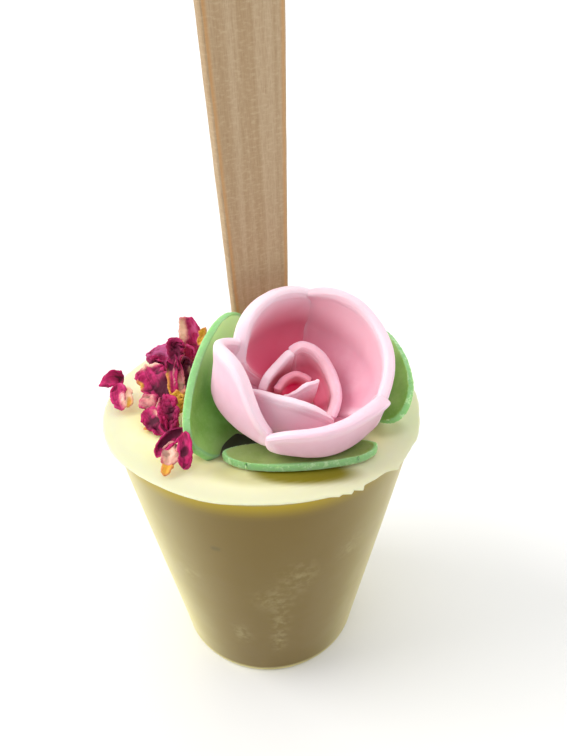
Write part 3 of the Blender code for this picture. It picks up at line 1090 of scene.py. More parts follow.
    def profile(self) -> list[Pair]:
        """The block's outline, from the foot's centre round to the top's.

        Returns:
            Its points, each a radius and a height.
        """
        slope = math.atan2(self.wall_top_radius - self.foot_radius, BLOCK_HEIGHT)
        under = BLOCK_HEIGHT - self.lip_thickness
        points = [(self.foot_radius * share, 0.0) for share in (0.0, 0.3, 0.6, 0.85)]
        for step in range(self.foot_rings + 1):
            angle = -math.pi / 2 + (math.pi / 2 - slope) * step / self.foot_rings
            radius = self.foot_radius - self.foot_rounding * (1 - math.cos(angle))
            points.append((radius, self.foot_rounding * (1 + math.sin(angle))))
        start_radius, start_height = points[-1]
        end_radius = self.foot_radius + (self.wall_top_radius - self.foot_radius) * under / BLOCK_HEIGHT
        for step in range(1, self.wall_rings + 1):
            share = step / self.wall_rings
            radius = start_radius + (end_radius - start_radius) * share
            points.append((radius, start_height + (under - start_height) * share))
        edge = self.lip_radius - self.lip_rounding
        for step in range(1, self.under_rings + 1):
            share = step / self.under_rings
            points.append((end_radius + (edge - end_radius) * share, under + self.lip_rise * share))
        middle = (under + self.lip_rise + BLOCK_HEIGHT) / 2
        tall = (BLOCK_HEIGHT - under - self.lip_rise) / 2
        for step in range(1, self.lip_rings + 1):
            angle = -math.pi / 2 + math.pi * step / self.lip_rings
            points.append((edge + self.lip_rounding * math.cos(angle), middle + tall * math.sin(angle)))
        for step in range(1, self.top_rings + 1):
            points.append((edge * (1 - step / self.top_rings), BLOCK_HEIGHT))
        return points

    def lip_change(self, angle: float) -> float:
        """How far the lip's edge departs from its circle.

        Args:
            angle: The angle round the block, in radians.

        Returns:
            The distance outwards, in metres.
        """
        turn = math.degrees(angle)
        for (start, first), (end, last) in zip(self.lip_line, self.lip_line[1:]):
            if start <= turn <= end:
                edge = first + (last - first) * (turn - start) / (end - start)
        return edge * MM - self.lip_radius + self.lip_ripple.at(Vector((angle, 0, 0)))

    def build(self, finish: ChocolateFinish) -> bpy.types.Object:
        """Builds the block.

        Args:
            finish: Its chocolate.

        Returns:
            The piece.
        """
        mesh = bmesh.new()
        points = [mesh.verts.new((radius, 0.0, height)) for radius, height in self.profile()]
        edges = [mesh.edges.new(pair) for pair in zip(points, points[1:])]
        bmesh.ops.spin(
            mesh,
            geom=points + edges,
            axis=(0, 0, 1),
            cent=(0, 0, 0),
            angle=2 * math.pi,
            steps=self.steps,
            use_merge=True,
        )
        bmesh.ops.remove_doubles(mesh, verts=mesh.verts, dist=WELD)
        bmesh.ops.recalc_face_normals(mesh, faces=mesh.faces)
        self.shape(mesh)
        return keep(mesh, "white_chocolate_block", finish.material(), ["chocolate_block"])

    def shape(self, mesh: bmesh.types.BMesh) -> None:
        """Makes the turned block uneven as the cast one is, and paints its marks.

        Args:
            mesh: The turned block.
        """
        used = (Mark.TOP, Mark.LIP, Mark.GLOW, Mark.BLOOM, Mark.CREASE, Mark.TINT)
        marks = {mark: layer(mesh, mark) for mark in used}
        under = BLOCK_HEIGHT - self.lip_thickness
        for vert in mesh.verts:
            x, y, height = vert.co
            radius, angle = math.hypot(x, y), math.atan2(y, x)
            if height > under - WELD:
                self.shape_lip(vert, marks, radius, angle)
            if height > BLOCK_HEIGHT - self.top_skin:
                self.shape_top(vert, marks, x, y)
            elif self.foot_rounding < height < under:
                self.shape_wall(vert, marks, radius, angle)

    def shape_lip(self, vert: bmesh.types.BMVert, marks: Layers, radius: float, angle: float) -> None:
        """Moves a point of the lip or the top out to the ragged edge, and marks it.

        Args:
            vert: The point.
            marks: The mesh's layers.
            radius, angle: Where it lay.
        """
        chip = self.lip_change(angle) * smooth(*self.lip_blend, radius)
        vert.co.x += math.cos(angle) * chip
        vert.co.y += math.sin(angle) * chip
        vert[marks[Mark.TOP]] = 1.0
        vert[marks[Mark.LIP]] = self.lip_whiten * smooth(*self.lip_white, radius)

    def shape_top(self, vert: bmesh.types.BMVert, marks: Layers, x: float, y: float) -> None:
        """Raises or lowers a point of the top, and marks the shadows there.

        Args:
            vert: The point.
            marks: The mesh's layers.
            x, y: Where it lay.
        """
        radius = math.hypot(x, y)
        meniscus = self.meniscus * math.exp(-self.stick.gap_to(x, y) / self.meniscus_reach)
        swell = max([meniscus] + [bump.rise(x, y) for bump in self.bumps])
        swell += sum(ripple.at(vert.co) for ripple in self.top_ripples)
        sag = self.sag * smooth(*self.sag_between, radius)
        vert.co.z += swell * (1 - smooth(*self.lip_flat, radius)) - sag
        # The painted shadows on the top: under the leaves, and darkest under the rose.
        vert[marks[Mark.TINT]] = max(hollow.share(x, y) for hollow in self.painted_leaf_shadows)
        vert[marks[Mark.CREASE]] = max(dark.share(x, y) for dark in self.painted_rose_shadows)

    def shape_wall(self, vert: bmesh.types.BMVert, marks: Layers, radius: float, angle: float) -> None:
        """Makes a point of the wall uneven, and marks its colours.

        Args:
            vert: The point.
            marks: The mesh's layers.
            radius, angle: Where it lay.
        """
        x, y, height = vert.co
        ripple = self.wall_ripple.at(Vector((x, y, height * self.wall_stretch))) - self.wall_inset
        vert.co.x += math.cos(angle) * ripple
        vert.co.y += math.sin(angle) * ripple
        below = BLOCK_HEIGHT - self.lip_thickness - height
        # The painted golden glow in the shade under the lip.
        vert[marks[Mark.GLOW]] = smooth(*self.golden_fade, below) * self.golden.share(angle)
        vert[marks[Mark.BLOOM]] = min(1.0, sum(frost.share(angle, height) for frost in self.frosts))
        # The painted shade on the wall's front.
        vert[marks[Mark.TINT]] = self.brown.share(angle)
        vert[marks[Mark.CREASE]] = self.speck.share(angle, radius, height)


@dataclass(frozen=True)
class Patch:
    """A soft spot of colour on a petal: its middle across and along, its half sizes and its strength."""

    u: float = 0.0
    v: float = 0.5
    wide: float = 1.0
    tall: float = 1.0
    strength: float = 0.0

    def share(self, u: float, v: float) -> float:
        """How strong the spot is at u and v."""
        return self.strength * math.exp(-(((u - self.u) / self.wide) ** 2) - ((v - self.v) / self.tall) ** 2)


ALL_OVER = Patch(wide=9.0, tall=9.0, strength=1.0)


@dataclass(frozen=True)
class WaferPetal:
    """One cupped wafer petal of the rose, in the rose's own frame: its axis is Z and its front is -Y.

    Angles are in degrees, counted from the rose's right side, and sizes are in millimetres. heights are
    the rim's, and bellies and rims are how far out the middle surface stands at its fullest and at its
    rim, each evenly spaced from the petal's first side to its last. The foot stands nearer the axis than
    the fullest part by narrowing.

    Attributes:
        node: The plain solid that it replaces.
        first, last: The angles that it spans.
        heights: The rim's heights.
        bellies: The distances from the axis where it is fullest.
        rims: The distances from the axis at the rim.
        narrowing: How much nearer the axis the foot stands.
        foot_height: The foot's height.
        corner: The share of the height by which the rim's corners are rounded down.
        foot_shares: The shares of the half angle that the foot spans to the first side and to the last.
        belly_at: The share of the height at which it is fullest.
        thicks: The rim's thickness at the first side, in the middle and at the last side.
        pink_and_shade_depths: How deep a pink its inner face has at the rim and at the foot, from 0 to 1,
            partly its colour and partly painted shade.
        pale: How much of the rims' pale pink its faces have as painted light, from 0 to 1.
        seed: Picks its own unevenness.
        merge: 1 if the last side thins out below the rim and runs into the next petal, 0 if not.
        flush: Where it has a deeper pink besides, as painted shade.
        full_at: The share of the height at which the sides have spread to their full angle.
        corner_power: How close to the sides the rim's corners are.
        waves: The rim's waves: how high, and how many to half the petal's width.
        curl_power: How late above its fullest part the petal curls to its rim.
        merge_curl, merge_from: How much later a merging side does so, and from where across.
        merge_thin: The share of the thickness that a merging side loses.
        merge_across, merge_below: Where across and along the loss starts and where it is full.
        dent, dents: How far its face wanders in and out, and how many waves that has.
        dent_seed: Sets those waves apart from the rim's.
        depth_fade: Where along it the pink starts to change, and where it has the rim's.
    """

    node: str
    first: float
    last: float
    heights: tuple[float, ...]
    bellies: tuple[float, ...]
    rims: tuple[float, ...]
    narrowing: float
    foot_height: float
    corner: float
    foot_shares: Pair
    belly_at: float
    thicks: tuple[float, float, float]
    pink_and_shade_depths: Pair
    pale: float
    seed: float
    merge: float = 0.0
    flush: Patch = Patch()
    full_at: float = 0.8
    corner_power: int = 5
    waves: tuple[Pair, ...] = ((0.22, 1.7), (0.07, 6.0))
    curl_power: float = 2.0
    merge_curl: float = 5.0
    merge_from: float = 0.3
    merge_thin: float = 0.92
    merge_across: Pair = (0.72, 1.0)
    merge_below: Pair = (0.98, 0.8)
    dent: float = 0.16
    dents: float = 1.5
    dent_seed: float = 5.0
    depth_fade: Pair = (0.35, 1.0)

    def place(self, u: float, v: float) -> Vector:
        """A point of the middle surface, in the rose's frame.

        Args:
            u: From -1 at the first side to 1 at the last.
            v: From 0 at the foot to 1 at the rim.

        Returns:
            The point, in metres.
        """
        middle, half = (self.first + self.last) / 2, (self.last - self.first) / 2
        foot_share = self.foot_shares[0] if u < 0 else self.foot_shares[1]
        spread = math.sin(min(v / self.full_at, 1.0) * math.pi / 2)
        angle = math.radians(middle + half * u * (foot_share + (1 - foot_share) * spread))
        height = self.foot_height + v * (self.rim_height(u) - self.foot_height)
        radius = self.radius(u, height)
        wave = noise.noise(Vector((u * self.dents, v * self.dents, self.seed + self.dent_seed)))
        radius += self.dent * v * wave
        return Vector((radius * math.cos(angle), radius * math.sin(angle), height)) * MM

    def rim_height(self, u: float) -> float:
        """The rim's height, with its rounded corners and its waves.

        Args:
            u: From -1 at the first side to 1 at the last.

        Returns:
            The height, in millimetres.
        """
        ripple = 0.0
        for number, (tall, count) in enumerate(self.waves):
            ripple += tall * noise.noise(Vector((u * count, self.seed, float(number))))
        return through(self.heights, u) * (1 - self.corner * abs(u) ** self.corner_power) + ripple

    def radius(self, u: float, height: float) -> float:
        """How far from the axis the middle surface stands.

        Args:
            u: From -1 at the first side to 1 at the last.
            height: The height, in millimetres.

        Returns:
            The distance, in millimetres.
        """
        rise = (height - self.foot_height) / (max(self.heights) - self.foot_height)
        belly, rim = through(self.bellies, u), through(self.rims, u)
        full = math.sin(min(rise / self.belly_at, 1.0) * math.pi / 2)
        late = self.curl_power + self.merge_curl * self.merge * smooth(self.merge_from, 1.0, u)
        curl = max(0.0, (rise - self.belly_at) / (1 - self.belly_at)) ** late
        return belly - self.narrowing * (1 - full) + (rim - belly) * curl

    def swell(self, u: float, v: float) -> float:
        """The thickness at u and v as a share of the middle's."""
        thin = self.merge * smooth(*self.merge_across, u) * smooth(*self.merge_below, v)
        return through(self.thicks, u) / self.thicks[1] * (1 - self.merge_thin * thin)

    def marks(self, u: float, v: float) -> dict[Mark, float]:
        """The petal's colours.

        Args:
            u: From -1 at the first side to 1 at the last.
            v: From 0 at the foot to 1 at the rim.

        Returns:
            How deep a pink it has there, partly painted shade, and how pale, as painted light.
        """
        rim, foot = self.pink_and_shade_depths
        deep = foot + (rim - foot) * smooth(*self.depth_fade, v) + self.flush.share(u, v)
        return {Mark.TINT: min(1.0, deep), Mark.GLOW: self.pale}


@dataclass
class Rose:
    """The wafer rose: an outer ring of cupped petals, a bud of three more and a rolled heart.

    Attributes:
        foot: The middle of its foot.
        lean_front, lean_side: How far its axis leans to the front and to the right.
        web: The petals' thickness well inside their rims.
        rounding: How far in their rims are rounded, as a share of their thickness.
        columns, rows: The petals' cells.
        petals: The petals.
    """

    foot: Vector
    lean_front: float = math.radians(15)
    lean_side: float = math.radians(8)
    web: float = 1.1 * MM
    rounding: float = 0.45
    columns: int = 64
    rows: int = 40
    petals: tuple[WaferPetal, ...] = (
        WaferPetal(
            "rose_petal_right", first=-30, last=90,
            heights=(10.4, 12.6, 13.9, 14.5, 13.3),
            bellies=(12.4, 11.6, 11.2, 11.5, 13.2),
            rims=(13.0, 12.2, 11.6, 11.5, 11.0),
            narrowing=8.4, foot_height=0.0, corner=0.15, foot_shares=(1.0, 0.9), belly_at=0.5,
            thicks=(1.6, 1.7, 1.7), pink_and_shade_depths=(0.15, 0.06), pale=0.0, seed=1.0, merge=1.0,
            flush=Patch(0.85, 0.3, 0.6, 0.35, 0.2),
        ),
        WaferPetal(
            "rose_petal_back", first=77, last=168,
            heights=(12.6, 12.8, 12.5, 11.2, 7.0),
            bellies=(13.4, 11.8, 10.6, 9.8, 9.0),
            rims=(13.2, 12.6, 11.4, 10.7, 9.8),
            narrowing=8.2, foot_height=0.0, corner=0.15, foot_shares=(0.85, 0.85), belly_at=0.5,
            thicks=(1.7, 2.3, 2.2), pink_and_shade_depths=(0.0, 0.66), pale=0.0, seed=2.0,
        ),
        WaferPetal(
            "rose_petal_left", first=159, last=250,
            heights=(9.6, 11.7, 13.0, 10.6, 5.8),
            bellies=(9.3, 11.9, 11.7, 11.3, 10.7),
            rims=(9.4, 11.4, 10.6, 10.0, 10.6),
            narrowing=7.8, foot_height=0.0, corner=0.06, foot_shares=(0.95, 0.85), belly_at=0.3,
            thicks=(1.4, 1.7, 1.6), pink_and_shade_depths=(0.1, 0.0), pale=0.0, seed=3.0,
        ),
        WaferPetal(
            "rose_petal_front", first=248, last=344,
            heights=(6.9, 8.5, 9.7, 10.5, 8.6),
            bellies=(11.6, 11.9, 12.0, 11.9, 11.9),
            rims=(11.9, 11.9, 12.1, 12.6, 13.8),
            narrowing=7.6, foot_height=0.3, corner=0.2, foot_shares=(0.45, 0.62), belly_at=0.35,
            thicks=(1.3, 1.6, 2.4), pink_and_shade_depths=(0.2, 0.04), pale=0.0, seed=4.0,
        ),
        WaferPetal(
            "rose_bud_right", first=-48, last=104,
            heights=(4.7, 5.2, 6.1, 7.7, 7.6),
            bellies=(7.2, 5.9, 5.5, 5.4, 4.9),
            rims=(7.4, 6.0, 5.5, 5.5, 5.0),
            narrowing=2.6, foot_height=0.8, corner=0.1, foot_shares=(0.9, 0.9), belly_at=0.5,
            thicks=(1.6, 1.8, 1.8), pink_and_shade_depths=(0.26, 0.6), pale=0.0, seed=5.0,
        ),
        WaferPetal(
            "rose_bud_left", first=99, last=187,
            heights=(7.2, 6.3, 5.4, 5.2, 4.0),
            bellies=(4.8, 4.3, 4.2, 4.4, 5.0),
            rims=(4.8, 4.3, 4.3, 4.5, 5.0),
            narrowing=0.8, foot_height=0.8, corner=0.1, foot_shares=(0.9, 0.9), belly_at=0.4,
            thicks=(1.5, 1.4, 1.3), pink_and_shade_depths=(0.05, 1.1), pale=0.8, seed=6.0,
        ),
        WaferPetal(
            "rose_bud_front", first=197, last=308,
            heights=(5.2, 8.0, 8.9, 8.3, 5.1),
            bellies=(7.0, 7.6, 7.5, 7.6, 7.8),
            rims=(6.8, 7.4, 7.2, 7.4, 7.8),
            narrowing=0.6, foot_height=0.6, corner=0.05, foot_shares=(0.9, 0.9), belly_at=0.4,
            thicks=(1.0, 1.2, 1.2), pink_and_shade_depths=(0.05, 0.4), pale=0.9, seed=7.0,
        ),
        WaferPetal(
            "rose_heart_back", first=36, last=187,
            heights=(4.6, 4.7, 4.6, 4.2, 4.0),
            bellies=(2.7, 2.3, 2.2, 2.2, 2.8),
            rims=(2.8, 2.3, 2.2, 2.2, 2.9),
            narrowing=2.2, foot_height=1.0, corner=0.1, foot_shares=(0.9, 0.9), belly_at=0.5,
            thicks=(1.2, 1.2, 1.2), pink_and_shade_depths=(0.6, 1.0), pale=0.0, seed=8.0,
        ),
        WaferPetal(
            "rose_heart_front", first=224, last=344,
            heights=(3.9, 5.4, 6.9, 7.2, 6.8),
            bellies=(2.2, 2.5, 2.5, 2.6, 2.9),
            rims=(1.9, 2.4, 2.4, 2.6, 2.8),
            narrowing=0.4, foot_height=1.0, corner=0.0, foot_shares=(0.9, 0.6), belly_at=0.5,
            thicks=(0.9, 0.85, 0.6), pink_and_shade_depths=(0.1, 0.8), pale=0.2, seed=9.0,
        ),
    )

    def pose(self) -> Matrix:
        """The rose's frame in the block's: its axis leans to the front and to the right."""
        lean = Matrix.Rotation(self.lean_front, 4, "X") @ Matrix.Rotation(self.lean_side, 4, "Y")
        return Matrix.Translation(self.foot) @ lean

    def build(self, finish: PinkFinish) -> list[bpy.types.Object]:
        """Builds the rose's petals.

        Args:
            finish: Their wafer.

        Returns:
            The pieces.
        """
        material, pose = finish.material(), self.pose()
        pieces = []
        for petal in self.petals:
            thick = petal.thicks[1] * MM
            shell = Shell(self.columns, self.rows, petal.place, thick, self.web, self.rounding * thick)
            shell.paint, shell.swell = petal.marks, petal.swell
            mesh = shell.build()
            self.face_in(mesh)
            mesh.transform(pose)
            name = petal.node.replace("rose_", "wafer_")
            pieces.append(keep(mesh, name, material, [petal.node]))
        return pieces

    def face_in(self, mesh: bmesh.types.BMesh) -> None:
        """Turns the side mark so that it is 1 on the petal's inner face.

        Args:
            mesh: The petal, in the rose's frame.
        """
        side = layer(mesh, Mark.SIDE)
        upper = [vert for vert in mesh.verts if vert[side] > 0]
        outward = sum(vert.normal.x * vert.co.x + vert.normal.y * vert.co.y for vert in upper)
        if outward > 0:
            for vert in mesh.verts:
                vert[side] = -vert[side]


@dataclass(frozen=True)
class WaferLeaf:
    """One wafer leaf: an oval, slightly dished disc. Sizes are in millimetres.

    Attributes:
        node: The plain solid that it replaces.
        centre: Its middle in the block's frame, with its height above the block's top.
        normal: Where its hollow side faces.
        along: The direction that its length follows as nearly as its plane lets it.
        length: Its length.
        left, right: Its half widths to either side of its middle line.
        cup: How deep its dish is.
        band: How wide a band of its rim has the lighter green.
        pale: How much painted light its far end has.
        painted_shade: How much brownish painted shade its face has.
        crumbly: How rough its rim is.
        sink: How far its low side is pressed into the chocolate.
        seed: Picks its own unevenness.
        edge_power: How close to the rim its roughness keeps.
        fray, crumbs: The height of the rim's waves and of its crumbs as a share, and how many there are.
        wave: The height of the waves in its face.
        painted_light_fade: Where along it the painted light starts and where it is full.
        press_height: The heights above the top between which the sinking sets in.
        press_side: How far to the left it sets in.
    """

    node: str
    centre: Point
    normal: Point
    along: Point
    length: float
    left: float
    right: float
    cup: float
    band: float
    pale: float
    painted_shade: float
    crumbly: float
    sink: float
    seed: float
    edge_power: int = 6
    fray: Pair = (0.008, 5.0)
    crumbs: Pair = (0.014, 22.0)
    wave: float = 0.15
    painted_light_fade: Pair = (0.2, 0.97)
    press_height: Pair = (3.0, 0.5)
    press_side: Pair = (-9.4, -7.2)

    def place(self, u: float, v: float) -> Vector:
        """A point of the middle surface, from a square sheet drawn in to an oval.

        Args:
            u: From -1 to 1 across the sheet.
            v: From 0 to 1 along it.

        Returns:
            The point, in metres.
        """
        w = 2 * v - 1
        x = u * math.sqrt(1 - w * w / 2)
        y = w * math.sqrt(1 - u * u / 2)
        edge = max(abs(u), abs(w)) ** self.edge_power
        (tall, count), (rough, many) = self.fray, self.crumbs
        fray = 1 + tall * edge * noise.noise(Vector((x * count, y * count, self.seed)))
        fray += rough * self.crumbly * edge * noise.noise(Vector((x * many, y * many, self.seed)))
        hollow = self.cup * (x * x + y * y) + self.wave * noise.noise(Vector((x, y, self.seed)))
        width = self.left if x < 0 else self.right
        return Vector((x * width * fray, y * self.length / 2 * fray, hollow)) * MM

    def marks(self, u: float, v: float) -> dict[Mark, float]:
        """The leaf's colours, with its painted light and painted shade.

        Args:
            u: From -1 to 1 across the sheet. It is not used.
            v: From 0 to 1 along it.

        Returns:
            The values of its marks there.
        """
        return {
            Mark.GLOW: self.band,
            Mark.TINT: self.pale * smooth(*self.painted_light_fade, v),
            Mark.CREASE: self.painted_shade,
            Mark.BLOOM: self.crumbly,
        }

    def press(self, mesh: bmesh.types.BMesh) -> None:
        """Presses the low side of the leaf into the chocolate.

        Args:
            mesh: The leaf, in place.
        """
        start, full = (height * MM for height in self.press_height)
        outside, inside = (side * MM for side in self.press_side)
        for vert in mesh.verts:
            low = smooth(start, full, vert.co.z - BLOCK_HEIGHT)
            vert.co.z -= self.sink * MM * low * smooth(outside, inside, vert.co.x)

    def pose(self) -> Matrix:
        """Where the leaf lies.

        Returns:
            Its own frame in the block's: Y is along it, and its hollow side is up.
        """
        normal, along = Vector(self.normal).normalized(), Vector(self.along)
        along = (along - normal * along.dot(normal)).normalized()
        pose = Matrix((along.cross(normal), along, normal)).transposed().to_4x4()
        pose.translation = Vector(self.centre) * MM + Vector((0, 0, BLOCK_HEIGHT))
        return pose


@dataclass
class Leaves:
    """The three wafer leaves under the rose.

    Attributes:
        thickness: Their thickness.
        rounding: How far in their rims are rounded.
        squareness: How square their rims are left.
        columns, rows: Their cells.
        leaves: The leaves.
    """

    thickness: float = 1.1 * MM
    rounding: float = 0.22 * MM
    squareness: float = 3.0
    columns: int = 96
    rows: int = 120
    leaves: tuple[WaferLeaf, ...] = (
        WaferLeaf(
            "rose_leaf_left", centre=(-7.85, -6.5, 6.8),
            normal=(0.73, -0.46, 0.50),
            along=(0.22, 0.86, 0.47),
            length=24.0, left=4.5, right=8.0,
            cup=2.2, band=0.55, pale=0.85, painted_shade=0.0, crumbly=0.15, sink=0.7, seed=1.0,
        ),
        WaferLeaf(
            "rose_leaf_front", centre=(5.5, -16.2, 0.82),
            normal=(0.0, -0.03, 1.0),
            along=(1.0, 0.07, 0.0),
            length=21.8, left=1.9, right=3.7,
            cup=0.4, band=0.5, pale=0.0, painted_shade=0.45, crumbly=0.7, sink=0.0, seed=2.0,
        ),
        WaferLeaf(
            "rose_leaf_right", centre=(18.0, -0.6, 5.0),
            normal=(-0.74, -0.27, 0.62),
            along=(-0.23, 0.96, 0.15),
            length=22.6, left=5.6, right=5.6,
            cup=0.6, band=0.15, pale=0.4, painted_shade=0.1, crumbly=1.0, sink=0.0, seed=3.0,
        ),
    )

    def build(self, finish: GreenFinish) -> list[bpy.types.Object]:
        """Builds the leaves.

        Args:
            finish: Their wafer.

        Returns:
            The pieces.
        """
        material, thick = finish.material(), self.thickness
        pieces = []
        for leaf in self.leaves:
            shell = Shell(self.columns, self.rows, leaf.place, thick, thick, self.rounding)
            shell.squareness, shell.paint = self.squareness, leaf.marks
            mesh = shell.build()
            mesh.transform(leaf.pose())
            leaf.press(mesh)
            name = leaf.node.replace("rose_", "wafer_")
            pieces.append(keep(mesh, name, material, [leaf.node]))
        return pieces


@dataclass(frozen=True)
class Lobe:
    """One lobe of a dried, crumpled rose petal. Sizes are in millimetres, angles in degrees.

    Attributes:
        spine: Points of its spine from foot to tip, with heights above the block's top.
        facing: Where its hollow side faces.
        width: The width of its middle.
        ends: The shares of that width at the foot and the tip.
        roll: How far its sides curl.
        crumple: The height of its large folds.
        frill: The height of its fine folds.
        rounding: The share of its length by which its tip's corners are cut back.
        dark, cream, gold: Where it has purple painted shade (or lilac painted light, if its strength is
            below 0), and where it is cream or golden.
        bend, bend_size: How far its folds are bent, and how large the bends are.
        large_fold, sharp_fold: How strong the large folds are, soft and sharp, and their sizes.
        fine_size: The size of its fine folds.
        ragged: How far its tip's edge wanders, as a share of its length, and how many times a millimetre.
        foot_rounding: How far its foot's corners are cut back.
        step: The step along the spine over which its direction is taken.
        side_waves: How far its sides wander, as a share of its width, and how many times a millimetre.
        crumple_share, frill_share: How strong its folds are in the middle, and how much more at its sides.
        edge_fall, edge_at: How far its side edges fall back, and from where across.
        sway, sway_seed: How far its folds lean to and fro, and what sets that apart.
        low, lowest: The height over the top from which it is lifted off it, and the least it keeps.
        purple_large, purple_fine: How much purple painted shade its folds get, and how deep they are then.
        purple: How strongly the folds' purple painted shade shows.
    """

    spine: tuple[Point, ...]
    facing: Point
    width: float
    ends: Pair
    roll: float
    crumple: float
    frill: float = 0.12
    rounding: float = 0.3
    dark: Patch = Patch()
    cream: Patch = Patch()
    gold: Patch = Patch()
    bend: float = 0.9
    bend_size: float = 2.5
    large_fold: Pair = (1.1, 2.3)
    sharp_fold: Pair = (0.35, 1.9)
    fine_size: float = 0.8
    ragged: Pair = (0.05, 0.6)
    foot_rounding: float = 0.36
    step: float = 0.02
    side_waves: tuple[Pair, ...] = ((0.16, 0.7), (0.06, 2.2))
    crumple_share: Pair = (0.6, 0.6)
    frill_share: Pair = (0.5, 0.8)
    edge_fall: float = 0.5
    edge_at: float = 0.72
    sway: float = 0.6
    sway_seed: float = 9.0
    low: float = 0.7
    lowest: float = 0.12
    purple_large: Pair = (0.7, -0.5)
    purple_fine: Pair = (0.45, -0.9)
    purple: float = 0.75

    def length(self) -> float:
        """The spine's length, along straight lines."""
        return sum(math.dist(first, second) for first, second in zip(self.spine, self.spine[1:]))

    def seed(self) -> float:
        """A number of its own, from where it lies."""
        return 7.3 * self.spine[0][0] + 3.1 * self.spine[1][2] + self.width

    def crease(self, u: float, v: float) -> Pair:
        """The folds at a place.

        Args:
            u: From -1 to 1 across the lobe.
            v: From 0 at the foot to 1 at the tip.

        Returns:
            How far the large and the fine folds stand out, each from about -1 to 1.
        """
        flat = Vector((u * self.width / 2, v * self.length(), self.seed()))
        bent = flat + self.bend * noise.noise_vector(flat / self.bend_size)
        (soft, soft_size), (sharp, sharp_size) = self.large_fold, self.sharp_fold
        large = soft * noise.noise(bent / soft_size) + sharp * (1 - 4 * abs(noise.noise(bent / sharp_size)))
        return large, 1 - 4 * abs(noise.noise(bent / self.fine_size))

    def place(self, u: float, v: float) -> Vector:
        """A point of the middle surface, curled across, folded, and ragged at its sides and tip.

        Args:
            u: From -1 to 1 across it.
            v: From 0 at the foot to 1 at the tip.

        Returns:
            The point, in metres, with heights above the block's top.
        """
        points = [Vector(point) for point in self.spine]
        length, seed = self.length(), self.seed()
        wander_by, count = self.ragged
        ragged = wander_by * noise.noise(Vector((u * self.width * count, seed, 2.0)))
        along = 2 * v * (1 - self.rounding * u * u * v + ragged * v)
        along += self.foot_rounding * (u * (1 - v)) ** 2 - 1
        spine = through(points, along)
        tangent = (through(points, along + self.step) - spine).normalized()
        facing = Vector(self.facing)
        facing = (facing - tangent * facing.dot(tangent)).normalized()
        across, deep = self.section(u, v, along)
        sway = noise.noise(Vector((u * 2.0, v * length / 2, seed + self.sway_seed)))
        across += self.crumple * self.sway * sway
        point = spine + tangent.cross(facing) * across + facing * deep
        if point.z < self.low:
            room = self.low - self.lowest
            point.z = self.lowest + room * math.exp((point.z - self.low) / room)
        return point * MM

    def section(self, u: float, v: float, along: float) -> Pair:
        """A point of the curled and folded section across the lobe.

        Args:
            u: From -1 to 1 across it.
            v: From 0 at the foot to 1 at the tip.
            along: The place on the spine, from -1 to 1.

        Returns:
            How far the point is to the side and to the hollow side, in millimetres.
        """
        half = self.width / 2 * through((self.ends[0], 1.0, self.ends[1]), along)
        side = math.copysign(2.0, u)
        for share, count in self.side_waves:
            half *= 1 + share * noise.noise(Vector((v * self.length() * count, side, self.seed())))
        curl = math.radians(self.roll) / 2
        large, fine = self.crease(u, v)
        (large_rest, large_more), (fine_rest, fine_more) = self.crumple_share, self.frill_share
        deep = half * (1 - math.cos(curl * u)) / curl
        deep += self.crumple * (large_rest + large_more * u * u) * large
        deep += self.frill * (fine_rest + fine_more * u * u) * fine
        deep -= self.edge_fall * self.crumple * smooth(self.edge_at, 1.0, abs(u)) ** 2
        return half * math.sin(curl * u) / curl, deep

    def marks(self, u: float, v: float) -> dict[Mark, float]:
        """The lobe's colours: purple painted shade in its folds and in its dark spot, and its cream and
        golden spots.

        Args:
            u: From -1 to 1 across the lobe.
            v: From 0 at the foot to 1 at the tip.

        Returns:
            The values of its marks there.
        """
        large, fine = self.crease(u, v)
        (strong, deep), (weak, shallow) = self.purple_large, self.purple_fine
        fold = strong * smooth(0.0, deep, large) + weak * smooth(0.0, shallow, fine)
        return {
            Mark.CREASE: min(1.0, self.purple * fold + self.dark.share(u, v)),
            Mark.TINT: self.cream.share(u, v),
            Mark.GLOW: self.gold.share(u, v),
        }


@dataclass(frozen=True)
class DriedPetal:
    """One dried rose petal: the plain solid that it replaces, and its lobes."""

    node: str
    lobes: tuple[Lobe, ...]


